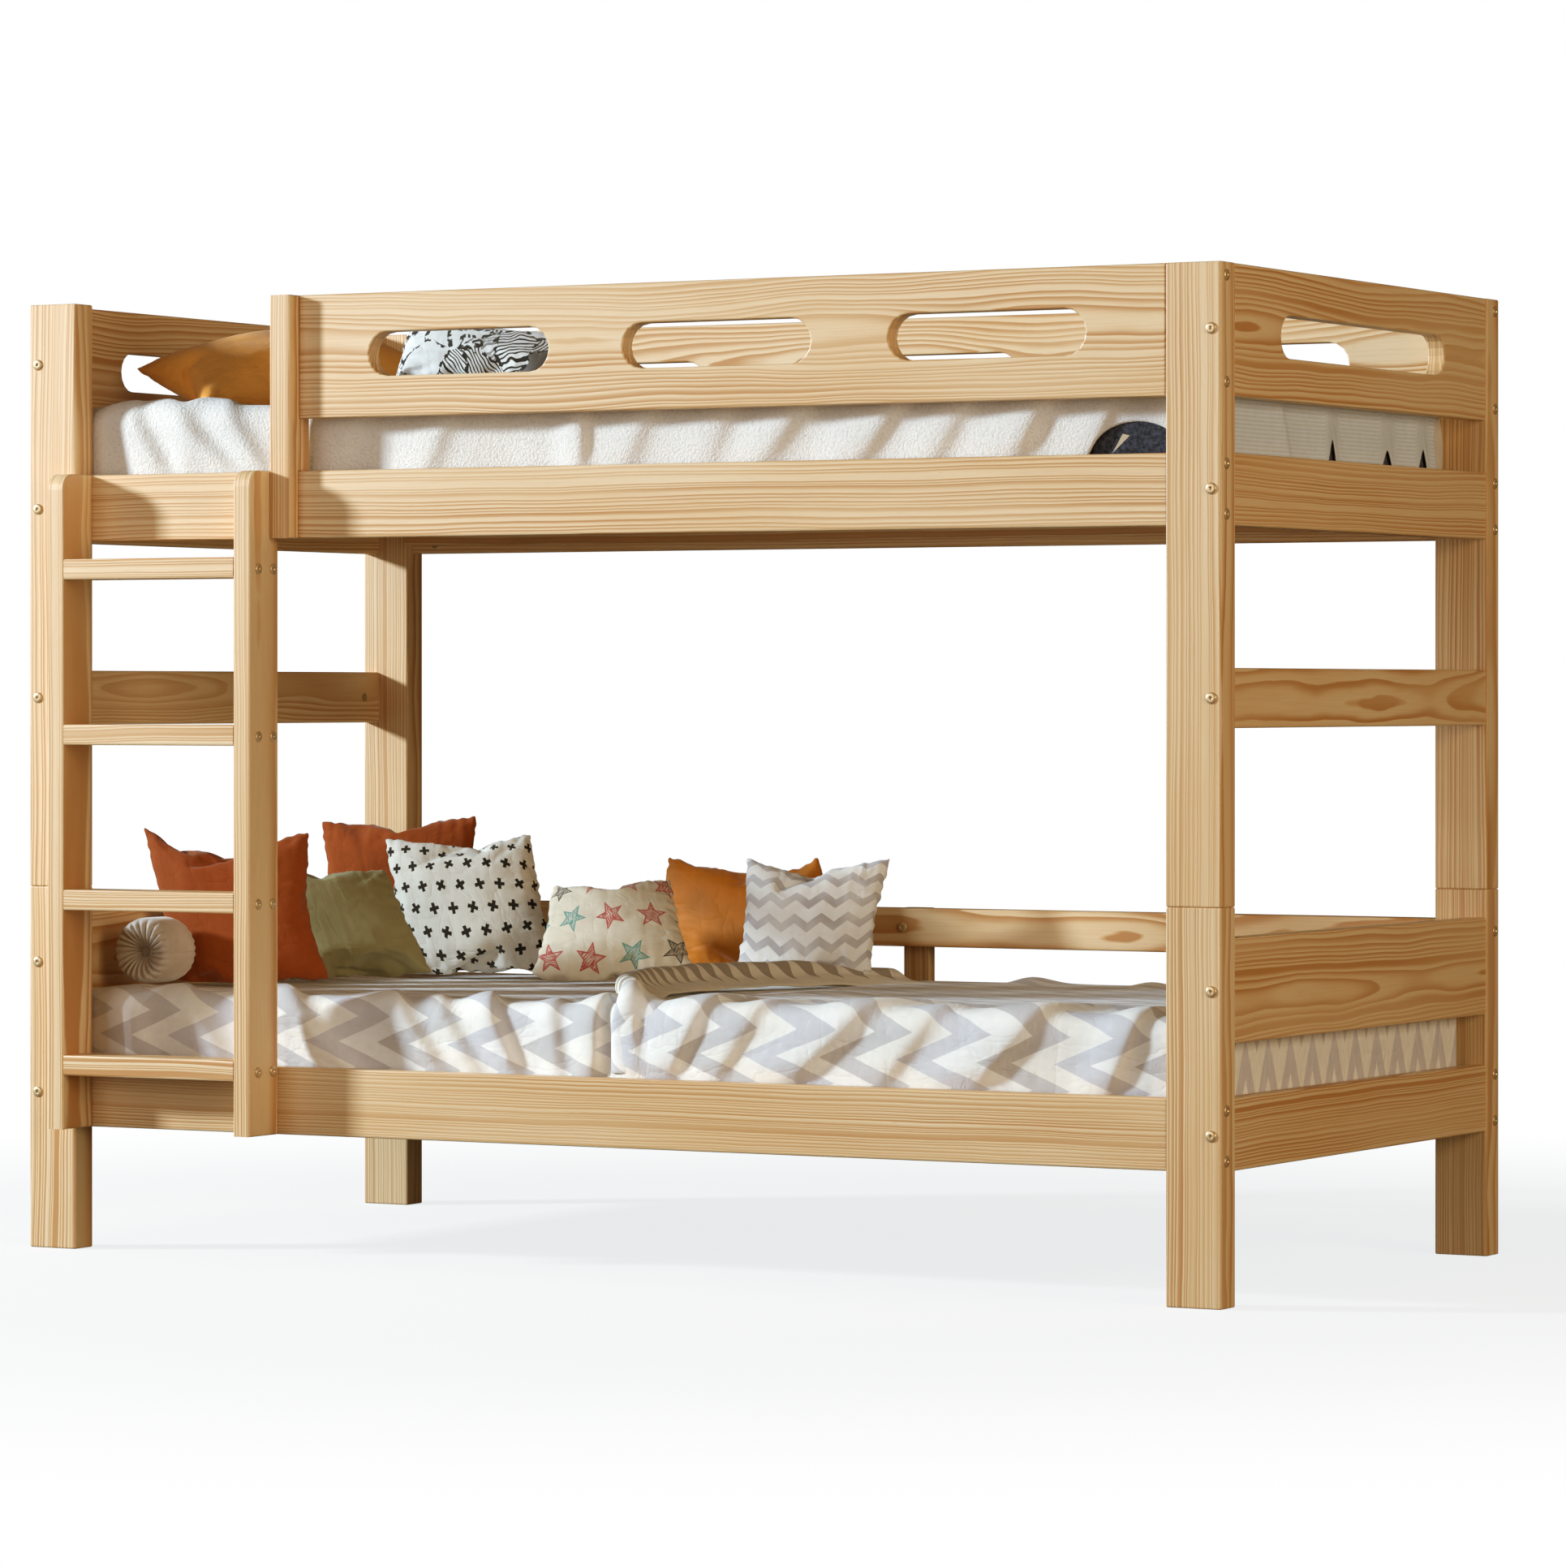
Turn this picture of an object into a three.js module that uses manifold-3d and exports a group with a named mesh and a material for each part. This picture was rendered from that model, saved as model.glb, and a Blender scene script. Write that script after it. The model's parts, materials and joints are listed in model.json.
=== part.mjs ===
// Pine bunk bed: two stacked beds on pinned posts, a bolted ladder, slat rolls, mattresses and bedding.
// Millimetres, +Z up. It is laid out from its front left floor corner and then centred on the floor.
import * as THREE from 'three';
import { mergeVertices } from 'three/addons/utils/BufferGeometryUtils.js';
import Module from 'manifold-3d';

const wasm = await Module();
wasm.setup();

// Overall frame
const bedLength = 2080;
const bedDepth = 1016;
const bedHeight = 1490;
const postWidth = 88;
const postDepth = 48;
const postSplit = 571; // height where the upper posts stand on the lower ones
const gap = 0.3; // clearance between touching pieces
const reveal = 2; // boards sit this far behind the outer faces of the posts
const sideBoard = 30; // thickness of side rails and side guards
const endBoard = 28; // thickness of end rails and end boards

// Heights of the boards, [bottom, top]
const lowerRail = [194, 298];
const upperRail = [1115, 1219];
const lowerEndBoard = [376, 527];
const lowerBackGuard = [461, 524];
const midRail = [826, 912];
const upperGuard = [1300, bedHeight];

// Slots in the upper guard boards
const slotHeight = 68;
const slotMiddle = 1396;
const frontSlots = { length: 322, pitch: 452 };
const backSlots = { length: 424, pitch: 586 };
const endSlot = { length: 598, height: 62, middle: 1393 };

// Ladder and the short guard post beside it
const ladderDepth = 78; // from the rail face forward
const stileWidth = 31;
const leftStileX = postWidth + 1;
const rightStileX = 440;
const stileCornerRadius = 25;
const rungHeight = 32;
const rungDepth = 72;
const rungFirst = 294.5; // middle of the lowest rung
const rungPitch = 258.3;
const rungCount = 4;
const guardPostX = [471.4, 509];
const guardPostFront = -23;

// Rear stay between the lower back rail and the lower back guard
const stayX = [1026, 1074];
const stayThickness = 22;

// Slats
const ledgerSize = 30;
const ledgerLift = 13; // ledger bottom above rail bottom
const slatCount = 14;
const slatWidth = 72;
const slatThickness = 18;
const tapeWidth = 22;

// Pins between the posts
const pinRadius = 7;
const pinHoleRadius = 7.4;
const pinLength = 100;

// Mattresses and bedding
const mattressX = [45, 2035];
const mattressY = [58, 945];
const mattressHeight = 142;
const quiltTop = 10;
const throwTop = 12;
const skirt = 8;

const pine = 0xdcb683;
const beddingWhite = 0xe9e6e0;

const bed = new THREE.Group();
bed.position.set(-bedLength / 2, (ladderDepth - bedDepth - stayThickness) / 2, 0);

function add(name, geometry, color, roughness = 0.55, metalness = 0) {
  const material = new THREE.MeshStandardMaterial({ color, roughness, metalness });
  const mesh = new THREE.Mesh(geometry, material);
  mesh.name = name;
  bed.add(mesh);
  return mesh;
}

function weld(geometry) {
  const bare = geometry.clone();
  bare.deleteAttribute('normal');
  bare.deleteAttribute('uv');
  return mergeVertices(bare, 1e-4);
}

function toManifold(geometry) {
  const welded = weld(geometry);
  return new wasm.Manifold(new wasm.Mesh({
    numProp: 3,
    vertProperties: new Float32Array(welded.attributes.position.array),
    triVerts: new Uint32Array(welded.index.array),
  }));
}

function fromManifold(solid) {
  const mesh = solid.getMesh();
  const geometry = new THREE.BufferGeometry();
  geometry.setAttribute('position', new THREE.BufferAttribute(new Float32Array(mesh.vertProperties), 3));
  geometry.setIndex(new THREE.BufferAttribute(new Uint32Array(mesh.triVerts), 1));
  return geometry;
}

// Turns an extrusion made along Z so that it runs along X or Y: section x, y become the next two axes.
function turnTo(axis, geometry) {
  const turns = { x: [0, 0, 1, 1, 0, 0, 0, 1, 0], y: [0, 1, 0, 0, 0, 1, 1, 0, 0] };
  if (turns[axis]) {
    const m = turns[axis];
    geometry.applyMatrix4(new THREE.Matrix4().set(
      m[0], m[1], m[2], 0, m[3], m[4], m[5], 0, m[6], m[7], m[8], 0, 0, 0, 0, 1,
    ));
  }
  return geometry;
}

function roundedRect(low, high, radius) {
  const shape = new THREE.Shape();
  shape.moveTo(low[0] + radius, low[1]);
  shape.absarc(high[0] - radius, low[1] + radius, radius, -Math.PI / 2, 0);
  shape.absarc(high[0] - radius, high[1] - radius, radius, 0, Math.PI / 2);
  shape.absarc(low[0] + radius, high[1] - radius, radius, Math.PI / 2, Math.PI);
  shape.absarc(low[0] + radius, low[1] + radius, radius, Math.PI, Math.PI * 1.5);
  return shape;
}

function extrude(shape, length, bevel, curveSegments) {
  return new THREE.ExtrudeGeometry(shape, {
    depth: length - 2 * bevel,
    curveSegments,
    bevelEnabled: bevel > 0,
    bevelThickness: bevel,
    bevelSize: bevel,
    bevelOffset: -bevel,
    bevelSegments: 2,
  }).translate(0, 0, bevel);
}

// A straight timber between two corners, with rounded long edges and, if asked, eased ends.
function timber(axis, low, high, { edge = 3, ends = 0 } = {}) {
  const along = { x: 0, y: 1, z: 2 }[axis];
  const [a, b] = { x: [1, 2], y: [2, 0], z: [0, 1] }[axis];
  const section = roundedRect([low[a], low[b]], [high[a], high[b]], edge);
  const geometry = extrude(section, high[along] - low[along], ends, 1).translate(0, 0, low[along]);
  return turnTo(axis, geometry);
}

function slotPath(centre, middle, length, height) {
  const path = new THREE.Path();
  const radius = height / 2;
  const reach = length / 2 - radius;
  path.moveTo(centre - reach, middle - radius);
  path.absarc(centre + reach, middle, radius, -Math.PI / 2, Math.PI / 2);
  path.absarc(centre - reach, middle, radius, Math.PI / 2, Math.PI * 1.5);
  return path;
}

// A board standing on edge with slots right through it; it runs along X, or along Y for the ends.
function slottedBoard(span, heights, slots) {
  const shape = new THREE.Shape([
    new THREE.Vector2(span[0], heights[0]),
    new THREE.Vector2(span[1], heights[0]),
    new THREE.Vector2(span[1], heights[1]),
    new THREE.Vector2(span[0], heights[1]),
  ]);
  for (const slot of slots) {
    shape.holes.push(slotPath(slot.centre, slot.middle, slot.length, slot.height));
  }
  return shape;
}

function threeSlots({ length, pitch }, centre) {
  return [-1, 0, 1].map((step) => (
    { centre: centre + step * pitch, middle: slotMiddle, length, height: slotHeight }
  ));
}

// Shape x, y become X, Z and the extrusion runs from front to back.
function standAlongX(shape, front, thickness, bevel) {
  return extrude(shape, thickness, bevel, 4)
    .rotateX(Math.PI / 2)
    .translate(0, front + thickness, 0);
}

// Shape x, y become Y, Z and the extrusion runs from left to right.
function standAlongY(shape, left, thickness, bevel) {
  return turnTo('x', extrude(shape, thickness, bevel, 4)).translate(left, 0, 0);
}

// --- Posts and the pins that stack them ---

const postCorners = {
  front_left: [0, 0],
  front_right: [bedLength - postWidth, 0],
  back_left: [0, bedDepth - postDepth],
  back_right: [bedLength - postWidth, bedDepth - postDepth],
};

function pinShape(radius, length, x, y, middle) {
  return new THREE.CylinderGeometry(radius, radius, length, 16).rotateX(Math.PI / 2).translate(x, y, middle);
}

function buildPosts() {
  for (const [corner, [x, y]] of Object.entries(postCorners)) {
    const far = [x + postWidth, y + postDepth];
    const middle = [x + postWidth / 2, y + postDepth / 2];
    const lower = timber('z', [x, y, 0], [...far, postSplit - gap], { ends: 2 });
    const upper = timber('z', [x, y, postSplit], [...far, bedHeight], { ends: 2 });
    const hole = toManifold(pinShape(pinHoleRadius, pinLength + 4, ...middle, postSplit));
    add(`lower_post_${corner}`, fromManifold(toManifold(lower).subtract(hole)), pine);
    add(`upper_post_${corner}`, fromManifold(toManifold(upper).subtract(hole)), pine);
    add(`stacking_pin_${corner}`, pinShape(pinRadius, pinLength, ...middle, postSplit), 0xb9b6ae, 0.35, 1);
  }
}

// --- Rails, boards and ledgers ---

const railX = [postWidth + gap, bedLength - postWidth - gap];
const endY = [postDepth + gap, bedDepth - postDepth - gap];
const frontFace = reveal;
const backFace = bedDepth - reveal - sideBoard;
const endFaces = { left: reveal, right: bedLength - reveal - endBoard };

function sideTimber(name, front, [bottom, top], [left, right] = railX) {
  add(name, timber('x', [left, front, bottom], [right, front + sideBoard, top]), pine);
}

function endTimber(name, left, [bottom, top]) {
  add(name, timber('y', [left, endY[0], bottom], [left + endBoard, endY[1], top]), pine);
}

function buildSides() {
  for (const [bunk, heights] of Object.entries({ lower: lowerRail, upper: upperRail })) {
    sideTimber(`${bunk}_front_rail`, frontFace, heights);
    sideTimber(`${bunk}_back_rail`, backFace, heights);
    const bottom = heights[0] + ledgerLift;
    const top = bottom + ledgerSize;
    const ledgerFronts = {
      front: frontFace + sideBoard + gap,
      back: backFace - gap - ledgerSize,
    };
    for (const [side, front] of Object.entries(ledgerFronts)) {
      const low = [railX[0] + 4, front, bottom];
      const high = [railX[1] - 4, front + ledgerSize, top];
      add(`${bunk}_${side}_ledger`, timber('x', low, high, { edge: 2 }), pine);
    }
  }
  sideTimber('lower_back_guard_rail', backFace, lowerBackGuard);
  const stayFront = bedDepth - reveal + gap;
  const stayLow = [stayX[0], stayFront, lowerRail[0]];
  const stayHigh = [stayX[1], stayFront - gap + stayThickness, lowerBackGuard[1]];
  add('lower_back_stay', timber('z', stayLow, stayHigh, { ends: 2 }), pine);
}

function buildEnds() {
  for (const [side, left] of Object.entries(endFaces)) {
    endTimber(`lower_${side}_end_rail`, left, lowerRail);
    endTimber(`lower_${side}_end_board`, left, lowerEndBoard);
    endTimber(`${side}_mid_rail`, left, midRail);
    endTimber(`upper_${side}_end_rail`, left, upperRail);
    const slot = { centre: bedDepth / 2, ...endSlot };
    const shape = slottedBoard(endY, upperGuard, [slot]);
    add(`upper_${side}_end_board`, standAlongY(shape, left, endBoard, 2.5), pine);
  }
}

function buildGuards() {
  const frontSpan = [guardPostX[1] + gap, railX[1]];
  const middle = (frontSpan[0] + frontSpan[1]) / 2;
  const front = slottedBoard(frontSpan, upperGuard, threeSlots(frontSlots, middle));
  add('upper_front_guard_rail', standAlongX(front, frontFace, sideBoard, 2.5), pine);
  const back = slottedBoard(railX, upperGuard, threeSlots(backSlots, bedLength / 2));
  add('upper_back_guard_rail', standAlongX(back, backFace, sideBoard, 2.5), pine);
}

// The guard post is halved over the side rail, so that its cheek stands in front of the rail.
function buildGuardPost() {
  const back = frontFace + sideBoard;
  const shoulder = upperRail[1] + gap;
  const profile = new THREE.Shape([
    new THREE.Vector2(guardPostFront, upperRail[0]),
    new THREE.Vector2(frontFace - gap, upperRail[0]),
    new THREE.Vector2(frontFace - gap, shoulder),
    new THREE.Vector2(back, shoulder),
    new THREE.Vector2(back, bedHeight),
    new THREE.Vector2(guardPostFront, bedHeight),
  ]);
  add('guard_post', standAlongY(profile, guardPostX[0], guardPostX[1] - guardPostX[0], 2.5), pine);
}

// --- Ladder ---

function buildLadder() {
  const front = reveal - ladderDepth;
  const back = frontFace - gap;
  const [bottom, top] = [lowerRail[0], upperRail[1]];
  const profile = new THREE.Shape();
  profile.moveTo(front, bottom);
  profile.lineTo(back, bottom);
  profile.lineTo(back, top);
  profile.lineTo(front + stileCornerRadius, top);
  profile.absarc(front + stileCornerRadius, top - stileCornerRadius, stileCornerRadius, Math.PI / 2, Math.PI);
  for (const [side, left] of Object.entries({ left: leftStileX, right: rightStileX })) {
    add(`ladder_${side}_stile`, standAlongY(profile, left, stileWidth, 2.5), pine);
  }
  const span = [leftStileX + stileWidth + gap, rightStileX - gap];
  for (let step = 0; step < rungCount; step += 1) {
    const middle = rungFirst + step * rungPitch;
    const low = [span[0], front, middle - rungHeight / 2];
    const high = [span[1], front + rungDepth, middle + rungHeight / 2];
    add(`ladder_rung_${step + 1}`, timber('x', low, high), pine);
  }
}

// --- Slat rolls: slats held at their spacing by two woven tapes ---

function slatRoll(bottom) {
  const front = frontFace + sideBoard + 4;
  const back = backFace - 4;
  const first = railX[0] + 10;
  const pitch = (railX[1] - 10 - first - slatWidth) / (slatCount - 1);
  const top = bottom + slatThickness;
  const parts = [];
  for (let n = 0; n < slatCount; n += 1) {
    const left = first + n * pitch;
    const slat = timber('y', [left, front, bottom], [left + slatWidth, back, top], { edge: 3 });
    parts.push(toManifold(slat));
  }
  for (const share of [0.2, 0.8]) {
    const middle = front + (back - front) * share;
    const low = [first + 4, middle - tapeWidth / 2, top - 1];
    const high = [railX[1] - 14, middle + tapeWidth / 2, top + 1];
    parts.push(toManifold(timber('x', low, high, { edge: 0.4 })));
  }
  return fromManifold(parts.reduce((whole, part) => whole.add(part)));
}

function ledgerTop(rail) {
  return rail[0] + ledgerLift + ledgerSize;
}

function buildSlats() {
  add('lower_slat_roll', slatRoll(ledgerTop(lowerRail) + gap), pine);
  add('upper_slat_roll', slatRoll(ledgerTop(upperRail) + gap), pine);
}

// --- Mattresses and bedding ---

function mattressBottom(rail) {
  return ledgerTop(rail) + slatThickness + 1 + 2 * gap;
}

function mattressTop(rail) {
  return mattressBottom(rail) + mattressHeight;
}

function buildMattress(name, rail) {
  const outline = roundedRect([mattressX[0], mattressY[0]], [mattressX[1], mattressY[1]], 34);
  const geometry = extrude(outline, mattressHeight, 12, 3).translate(0, 0, mattressBottom(rail));
  add(name, geometry, beddingWhite, 0.9);
}

function block(low, high) {
  const size = high.map((value, n) => value - low[n]);
  return toManifold(new THREE.BoxGeometry(...size).translate(
    low[0] + size[0] / 2, low[1] + size[1] / 2, low[2] + size[2] / 2,
  ));
}

// Bedding lies over the mattress and hangs at the front and both ends down to the given height.
function buildCover(name, rail, thickness, hangTo, color) {
  const top = mattressTop(rail) + gap;
  const outer = block(
    [mattressX[0] - gap - skirt, mattressY[0] - gap - skirt, hangTo],
    [mattressX[1] + gap + skirt, mattressY[1], top + thickness],
  );
  const inner = block(
    [mattressX[0] - gap, mattressY[0] - gap, hangTo - 1],
    [mattressX[1] + gap, mattressY[1] + 1, top],
  );
  add(name, fromManifold(outer.subtract(inner)), color, 0.95);
}

// A crowned cushion: square-cornered seen from the front, lens-shaped seen from the side.
function crowned(width, height, depth) {
  const geometry = new THREE.SphereGeometry(1, 20, 10);
  const points = geometry.attributes.position;
  const point = new THREE.Vector3();
  for (let n = 0; n < points.count; n += 1) {
    point.fromBufferAttribute(points, n);
    const outline = Math.sqrt(point.x ** 4 + point.z ** 4);
    const scale = 1 / Math.sqrt(outline + point.y ** 2);
    points.setXYZ(n, point.x * scale * width / 2, point.y * scale * depth / 2, point.z * scale * height / 2);
  }
  return geometry;
}

function placeCushion({ name, x, y, base, width, height, depth, turn, lean, roll = 0, color }) {
  const mesh = add(name, crowned(width, height, depth), color, 0.95);
  mesh.rotation.order = 'ZXY';
  mesh.rotation.set(-lean * Math.PI / 180, roll * Math.PI / 180, turn * Math.PI / 180);
  mesh.updateMatrix();
  const box = new THREE.Box3().setFromBufferAttribute(
    mesh.geometry.clone().applyMatrix4(mesh.matrix).attributes.position,
  );
  mesh.position.set(x, y, base - box.min.z);
}

const lowerTop = mattressTop(lowerRail) + quiltTop + 2 * gap;
const upperTop = mattressTop(upperRail) + throwTop + 2 * gap;
const terracotta = 0xb5592a;

const cushions = [
  { name: 'terracotta_cushion_front', x: 203, y: 304, width: 264, height: 232, turn: 15, lean: 8, roll: -4,
    color: terracotta },
  { name: 'terracotta_cushion_back', x: 180, y: 820, width: 258, height: 238, turn: 16, lean: 8,
    color: terracotta },
  { name: 'olive_cushion', x: 262, y: 510, width: 240, height: 180, turn: 30, lean: 20, color: 0x7d7850 },
  { name: 'plus_cushion', x: 378, y: 735, width: 275, height: 222, turn: 14, lean: 14, color: 0xe8e5dc },
  { name: 'star_cushion', x: 672, y: 690, width: 262, height: 190, turn: 14, lean: 42, color: 0xe3d9c6 },
  { name: 'mustard_cushion', x: 792, y: 895, width: 240, height: 195, turn: 8, lean: 6, color: 0xc08028 },
  { name: 'zigzag_cushion', x: 985, y: 785, width: 240, height: 198, turn: 18, lean: 12, color: 0xe6e4e0 },
];

function buildBolster() {
  const radius = 55;
  const length = 90;
  const round = 20;
  const profile = [new THREE.Vector2(0, 0)];
  for (let n = 0; n <= 4; n += 1) {
    const angle = (n / 4) * Math.PI / 2;
    profile.push(new THREE.Vector2(radius - round + round * Math.sin(angle), round - round * Math.cos(angle)));
  }
  for (let n = 4; n >= 0; n -= 1) {
    const angle = (n / 4) * Math.PI / 2;
    const along = length - round + round * Math.cos(angle);
    profile.push(new THREE.Vector2(radius - round + round * Math.sin(angle), along));
  }
  profile.push(new THREE.Vector2(0, length));
  const mesh = add('bolster', new THREE.LatheGeometry(profile, 24), 0x8d8279, 0.95);
  mesh.position.set(114, 138, lowerTop + radius);
}

function buildBedding() {
  buildMattress('lower_mattress', lowerRail);
  buildMattress('upper_mattress', upperRail);
  buildCover('lower_quilt', lowerRail, quiltTop, lowerRail[1] - 14, 0xd9d6d0);
  buildCover('upper_throw', upperRail, throwTop, upperRail[1] - 14, 0xf2f0ec);
  for (const cushion of cushions) {
    placeCushion({ depth: 86, ...cushion, base: lowerTop });
  }
  buildBolster();
  placeCushion({
    name: 'ochre_cushion', x: 276, y: 318, base: upperTop,
    width: 390, height: 245, depth: 104, turn: 33, lean: 76, roll: -26, color: 0xc58a3a,
  });
  placeCushion({
    name: 'patterned_pillow', x: 702, y: 270, base: upperTop,
    width: 360, height: 176, depth: 98, turn: 4, lean: 50, roll: 5, color: 0xe4e2dd,
  });
}

buildPosts();
buildSides();
buildEnds();
buildGuards();
buildGuardPost();
buildLadder();
buildSlats();
buildBedding();

export default bed;
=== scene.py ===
import bmesh
import bpy
import json
import math
import random
from mathutils import Matrix, Vector, noise


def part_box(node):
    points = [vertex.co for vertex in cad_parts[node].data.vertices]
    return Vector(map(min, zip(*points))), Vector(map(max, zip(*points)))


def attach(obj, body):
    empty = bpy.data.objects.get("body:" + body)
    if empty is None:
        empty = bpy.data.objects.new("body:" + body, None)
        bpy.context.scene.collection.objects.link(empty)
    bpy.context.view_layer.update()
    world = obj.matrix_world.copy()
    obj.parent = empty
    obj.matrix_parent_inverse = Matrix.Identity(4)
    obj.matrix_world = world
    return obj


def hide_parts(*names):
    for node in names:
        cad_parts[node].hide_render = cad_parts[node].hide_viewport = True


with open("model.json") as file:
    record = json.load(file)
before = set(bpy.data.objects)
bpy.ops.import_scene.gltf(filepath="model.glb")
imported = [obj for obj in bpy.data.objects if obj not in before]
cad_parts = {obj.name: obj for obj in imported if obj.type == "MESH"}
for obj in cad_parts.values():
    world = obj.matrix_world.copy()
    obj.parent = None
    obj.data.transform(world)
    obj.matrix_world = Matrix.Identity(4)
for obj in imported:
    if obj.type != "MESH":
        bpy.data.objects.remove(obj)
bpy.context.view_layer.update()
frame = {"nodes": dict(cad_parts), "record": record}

scene = bpy.context.scene
nodes = frame["nodes"]
randomDraw = random.Random(11)
print("frame loaded:", len(nodes), "pieces")


# the bed's own outline, read from the frame
frontPostLow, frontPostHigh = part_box("lower_post_front_left")
bedLeft, bedFront = frontPostLow.x, frontPostLow.y
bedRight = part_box("lower_post_front_right")[1].x
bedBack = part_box("lower_post_back_left")[1].y


def smooth(value):
    value = min(1.0, max(0.0, value))
    return value * value * (3 - 2 * value)


def tint(code):
    # turns a paint code such as ecd2a6 into a linear colour
    parts = [int(code[n:n + 2], 16) / 255 for n in (0, 2, 4)]
    return tuple(c / 12.92 if c <= 0.04045 else ((c + 0.055) / 1.055) ** 2.4 for c in parts) + (1.0,)


# ---- camera, world, lights and floor ----
studio = {
    "cameraPlace": (4.813, -8.494, 0.875), "cameraHeading": 29.24, "lens": 142.9, "shiftY": -0.0575,
    "skyColor": (1, 0.62, 0.4, 1), "skyStrength": 0.05, "floorRadius": 14.0, "fadeFrom": 1.3, "fadeTo": 3.2,
    "floorBounce": (0.12, 0.095, 0.075, 1),
}

# each lamp stands on a circle round the bed: heading from the front, height above level, in degrees
lamps = {
    "key": {"heading": -60, "rise": 17, "away": 9.0, "size": 0.9, "power": 850, "color": (0.86, 1, 1.08)},
    "front": {"heading": -12, "rise": 9, "away": 8.0, "size": 5.0, "power": 165, "color": (1, 0.95, 0.90)},
    "side": {"heading": 68, "rise": 10, "away": 8.0, "size": 4.0, "power": 255, "color": (1, 0.80, 0.58)},
}
# a gentle grade: deeper, warmer shade under clean highlights, as (scene value, shown value)
grade = {
    1: [(0.10, 0.090), (0.22, 0.208), (0.40, 0.405), (0.60, 0.620)],
    2: [(0.06, 0.040), (0.12, 0.092), (0.20, 0.172), (0.30, 0.292), (0.45, 0.475), (0.70, 0.730)],
}


def buildStudio():
    camera = bpy.data.cameras.new("mainCamera")
    camera.lens, camera.sensor_width, camera.shift_y = studio["lens"], 36, studio["shiftY"]
    camera.clip_start, camera.clip_end = 0.1, 80
    eye = bpy.data.objects.new("mainCamera", camera)
    eye.location = studio["cameraPlace"]
    eye.rotation_euler = (math.pi / 2, 0, math.radians(studio["cameraHeading"]))
    scene.collection.objects.link(eye)
    scene.camera = eye
    scene.view_settings.view_transform = "Standard"
    scene.view_settings.use_curve_mapping = True
    mapping = scene.view_settings.curve_mapping
    for channel, points in grade.items():
        for before, after in points:
            mapping.curves[channel].points.new(before, after)
    mapping.update()
    for name, looks in lamps.items():
        lamp = bpy.data.lights.new(name, "AREA")
        lamp.size, lamp.energy, lamp.color = looks["size"], looks["power"], looks["color"]
        holder = bpy.data.objects.new(name, lamp)
        heading, rise = math.radians(looks["heading"]), math.radians(looks["rise"])
        outward = Vector((math.sin(heading) * math.cos(rise), -math.cos(heading) * math.cos(rise),
                          math.sin(rise)))
        holder.location = Vector((0, 0, 0.7)) + outward * looks["away"]
        holder.rotation_euler = outward.to_track_quat("Z", "Y").to_euler()
        scene.collection.objects.link(holder)
    world = bpy.data.worlds.new("studioWorld")
    scene.world = world
    world.use_nodes = True
    tree = world.node_tree
    tree.nodes.clear()
    path = tree.nodes.new("ShaderNodeLightPath")
    sky, white = tree.nodes.new("ShaderNodeBackground"), tree.nodes.new("ShaderNodeBackground")
    sky.inputs[0].default_value, sky.inputs[1].default_value = studio["skyColor"], studio["skyStrength"]
    white.inputs[0].default_value = (1, 1, 1, 1)
    mix, out = tree.nodes.new("ShaderNodeMixShader"), tree.nodes.new("ShaderNodeOutputWorld")
    tree.links.new(path.outputs["Is Camera Ray"], mix.inputs[0])
    tree.links.new(sky.outputs[0], mix.inputs[1])
    tree.links.new(white.outputs[0], mix.inputs[2])
    tree.links.new(mix.outputs[0], out.inputs[0])


# ---- node helpers ----
def put(tree, kind, inputs=None, **settings):
    node = tree.nodes.new(kind)
    for key, value in settings.items():
        setattr(node, key, value)
    for key, value in (inputs or {}).items():
        if isinstance(value, bpy.types.NodeSocket):
            tree.links.new(value, node.inputs[key])
        elif value is not None:
            node.inputs[key].default_value = value
    return node


def calc(tree, operation, a, b=None, c=None):
    return put(tree, "ShaderNodeMath", {0: a, 1: b, 2: c}, operation=operation).outputs[0]


def calcVector(tree, operation, a, b=None):
    made = put(tree, "ShaderNodeVectorMath", {0: a, 1: b}, operation=operation)
    return made.outputs["Value" if operation in ("LENGTH", "DOT_PRODUCT") else "Vector"]


def blendColor(tree, factor, a, b, mode="MIX"):
    node = put(tree, "ShaderNodeMix", data_type="RGBA", blend_type=mode)
    for socket, value in ((node.inputs[0], factor), (node.inputs[6], a), (node.inputs[7], b)):
        if isinstance(value, bpy.types.NodeSocket):
            tree.links.new(value, socket)
        else:
            socket.default_value = value
    return node.outputs[2]


def step(tree, value, low, high, outLow=0.0, outHigh=1.0):
    return put(tree, "ShaderNodeMapRange", {0: value, 1: low, 2: high, 3: outLow, 4: outHigh},
               interpolation_type="SMOOTHSTEP").outputs[0]


def noiseAt(tree, vector, scale, detail=2.0, rough=0.5, stretch=None):
    if stretch:
        vector = calcVector(tree, "MULTIPLY", vector, stretch)
    return put(tree, "ShaderNodeTexNoise", {"Vector": vector, "Scale": scale, "Detail": detail,
                                            "Roughness": rough})


def newGroup(name, inputs, outputs):
    tree = bpy.data.node_groups.new(name, "ShaderNodeTree")
    for label, kind, value in inputs:
        socket = tree.interface.new_socket(name=label, in_out="INPUT", socket_type="NodeSocket" + kind)
        if value is not None:
            socket.default_value = value
    for label, kind in outputs:
        tree.interface.new_socket(name=label, in_out="OUTPUT", socket_type="NodeSocket" + kind)
    return tree, tree.nodes.new("NodeGroupInput").outputs, tree.nodes.new("NodeGroupOutput").inputs


def useGroup(tree, group, inputs):
    node = tree.nodes.new("ShaderNodeGroup")
    node.node_tree = group
    for key, value in inputs.items():
        if isinstance(value, bpy.types.NodeSocket):
            tree.links.new(value, node.inputs[key])
        else:
            node.inputs[key].default_value = value
    return node.outputs


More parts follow.
